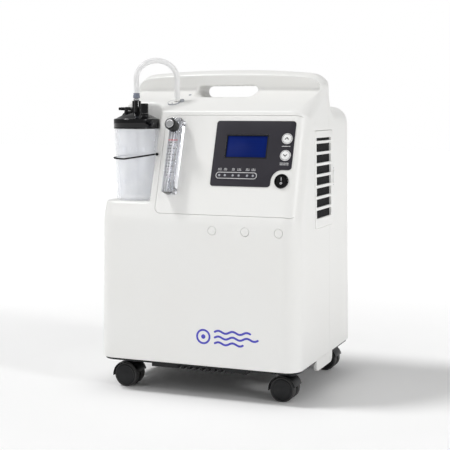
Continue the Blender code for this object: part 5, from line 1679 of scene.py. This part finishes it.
class OBJECT_OT_stage(bpy.types.Operator):
    """Camera, pale floor and soft studio light"""

    bl_idname = "concentrator.stage"
    bl_label = "Stage"

    def execute(self, context):
        scene = context.scene
        lens = bpy.data.cameras.new("camera")
        lens.lens, lens.sensor_width = CAMERA_LENS, 36.0
        scene.camera = stood("camera", lens, CAMERA_PLACE, CAMERA_TIP, CAMERA_TURN)
        # White to the eye and through glass, softer on surfaces, and dim in a first mirror reflection.
        world = bpy.data.worlds.new("studio")
        world.use_nodes = True
        tree = world.node_tree
        rays = add(tree, "LightPath")
        looks = {0: rays.outputs["Is Camera Ray"], 1: rays.outputs["Is Transmission Ray"]}
        seen = add(tree, "Math", looks, operation="MAXIMUM")
        level = add(tree, "MapRange", {"Value": seen.outputs[0], 3: SURROUNDINGS, 4: 1.0})
        direct = add(tree, "Math", {0: rays.outputs["Ray Depth"], 1: 1.5}, operation="LESS_THAN")
        mirror = add(tree, "Math", {0: rays.outputs["Is Glossy Ray"], 1: direct.outputs[0]},
                     operation="MULTIPLY")
        dim = add(tree, "MapRange", {"Value": mirror.outputs[0], 3: 1.0, 4: MIRRORED})
        strength = add(tree, "Math", {0: level.outputs["Result"], 1: dim.outputs["Result"]},
                       operation="MULTIPLY")
        tree.links.new(strength.outputs[0], tree.nodes["Background"].inputs["Strength"])
        tree.nodes["Background"].inputs["Color"].default_value = (1.0, 1.0, 1.0, 1.0)
        scene.world = world
        scene.view_settings.view_transform = "Standard"
        floor = bpy.data.meshes.new("floor")
        reach = 12.0
        corners = [(-reach, -reach, 0), (reach, -reach, 0), (reach, reach, 0), (-reach, reach, 0)]
        floor.from_pydata(corners, [], [(0, 1, 2, 3)])
        floor.materials.append(pale_floor())
        ground = stood("floor", floor, (0.0, 0.0, 0.0), 0.0, 0.0)
        for name, (bearing, height, spread, power) in SUNS.items():
            lamp = bpy.data.lights.new(name, "SUN")
            lamp.angle, lamp.energy = math.radians(spread), power
            stood(name, lamp, (0.0, 0.0, 0.0), 90.0 - height, 90.0 + bearing)
        box = bpy.data.lights.new("soft_box", "AREA")
        box.energy, box.size = 3.0, 0.5
        stood("soft_box", box, (-1.5, -2.5, 1.7), 62.0, -31.0)
        return {"FINISHED"}


def pale_floor():
    """Painted studio floor: matt near white with a slow drift in tone, and a painted glow that grows
    further out.
    """
    made, tree, shader = blank("paint_floor_white", {"Roughness": 0.85, "IOR": 1.45})
    place = add(tree, "TexCoord").outputs["Object"]
    drift = add(tree, "TexNoise", {"Vector": place, "Scale": per(900.0), "Detail": 2.0}).outputs[0]
    pale = tuple(bpy.context.scene.concentrator_colours.floor)
    dull = (*[c * 0.99 for c in pale[:3]], 1.0)
    tone = add(tree, "ValToRGB", {"Fac": drift}, [(0.3, dull), (0.7, pale)])
    tree.links.new(tone.outputs["Color"], shader.inputs["Base Color"])
    # Painted glow: none near the machine and rising further out, so the far floor reads white while the
    # shade near the machine stays dark.
    near = add(tree, "Mapping", {"Vector": place, "Scale": (0.55, 0.55, 0.55)}).outputs[0]
    middling = add(tree, "TexGradient", {"Vector": near}, gradient_type="SPHERICAL").outputs["Fac"]
    painted_glow = add(tree, "MapRange", {"Value": middling, 1: 0.75, 2: 0.1, 3: 0.0, 4: 0.2})
    tree.links.new(painted_glow.outputs["Result"], shader.inputs["Emission Strength"])
    shader.inputs["Emission Color"].default_value = (1.0, 1.0, 1.0, 1.0)
    return made


# ------------------------------------------------------------------ add-on

OPERATORS = (
    OBJECT_OT_stage, OBJECT_OT_oxygen_hose, OBJECT_OT_case, OBJECT_OT_display, OBJECT_OT_keys,
    OBJECT_OT_mains_switch, OBJECT_OT_flowmeter, OBJECT_OT_flow_knob, OBJECT_OT_side_covers,
    OBJECT_OT_bottle, OBJECT_OT_bottle_lid, OBJECT_OT_bottle_strap, OBJECT_OT_outlet, OBJECT_OT_casters,
    OBJECT_OT_mains_inlet, OBJECT_OT_front_mark, OBJECT_OT_underside, OBJECT_OT_frame_finishes,
)


class VIEW3D_PT_concentrator(bpy.types.Panel):
    """Sidebar panel with the sizes, the colours and one button for each group of pieces"""

    bl_idname = "VIEW3D_PT_concentrator"
    bl_label = "Oxygen Concentrator"
    bl_space_type = "VIEW_3D"
    bl_region_type = "UI"
    bl_category = "Concentrator"

    def draw(self, context):
        for group in (context.scene.concentrator_sizes, context.scene.concentrator_colours):
            for key in group.__annotations__:
                self.layout.prop(group, key)
        for operator in OPERATORS:
            self.layout.operator(operator.bl_idname)


CLASSES = (ConcentratorColours, ConcentratorSizes, *OPERATORS, VIEW3D_PT_concentrator)


def register():
    """Register every class and attach the settings to the scene."""
    for item in CLASSES:
        bpy.utils.register_class(item)
    bpy.types.Scene.concentrator_colours = bpy.props.PointerProperty(type=ConcentratorColours)
    bpy.types.Scene.concentrator_sizes = bpy.props.PointerProperty(type=ConcentratorSizes)


def unregister():
    """Undo register."""
    del bpy.types.Scene.concentrator_sizes
    del bpy.types.Scene.concentrator_colours
    for item in reversed(CLASSES):
        bpy.utils.unregister_class(item)


def main():
    register()
    for operator in OPERATORS:
        group, name = operator.bl_idname.split(".")
        getattr(getattr(bpy.ops, group), name)()


if __name__ == "__main__":
    main()
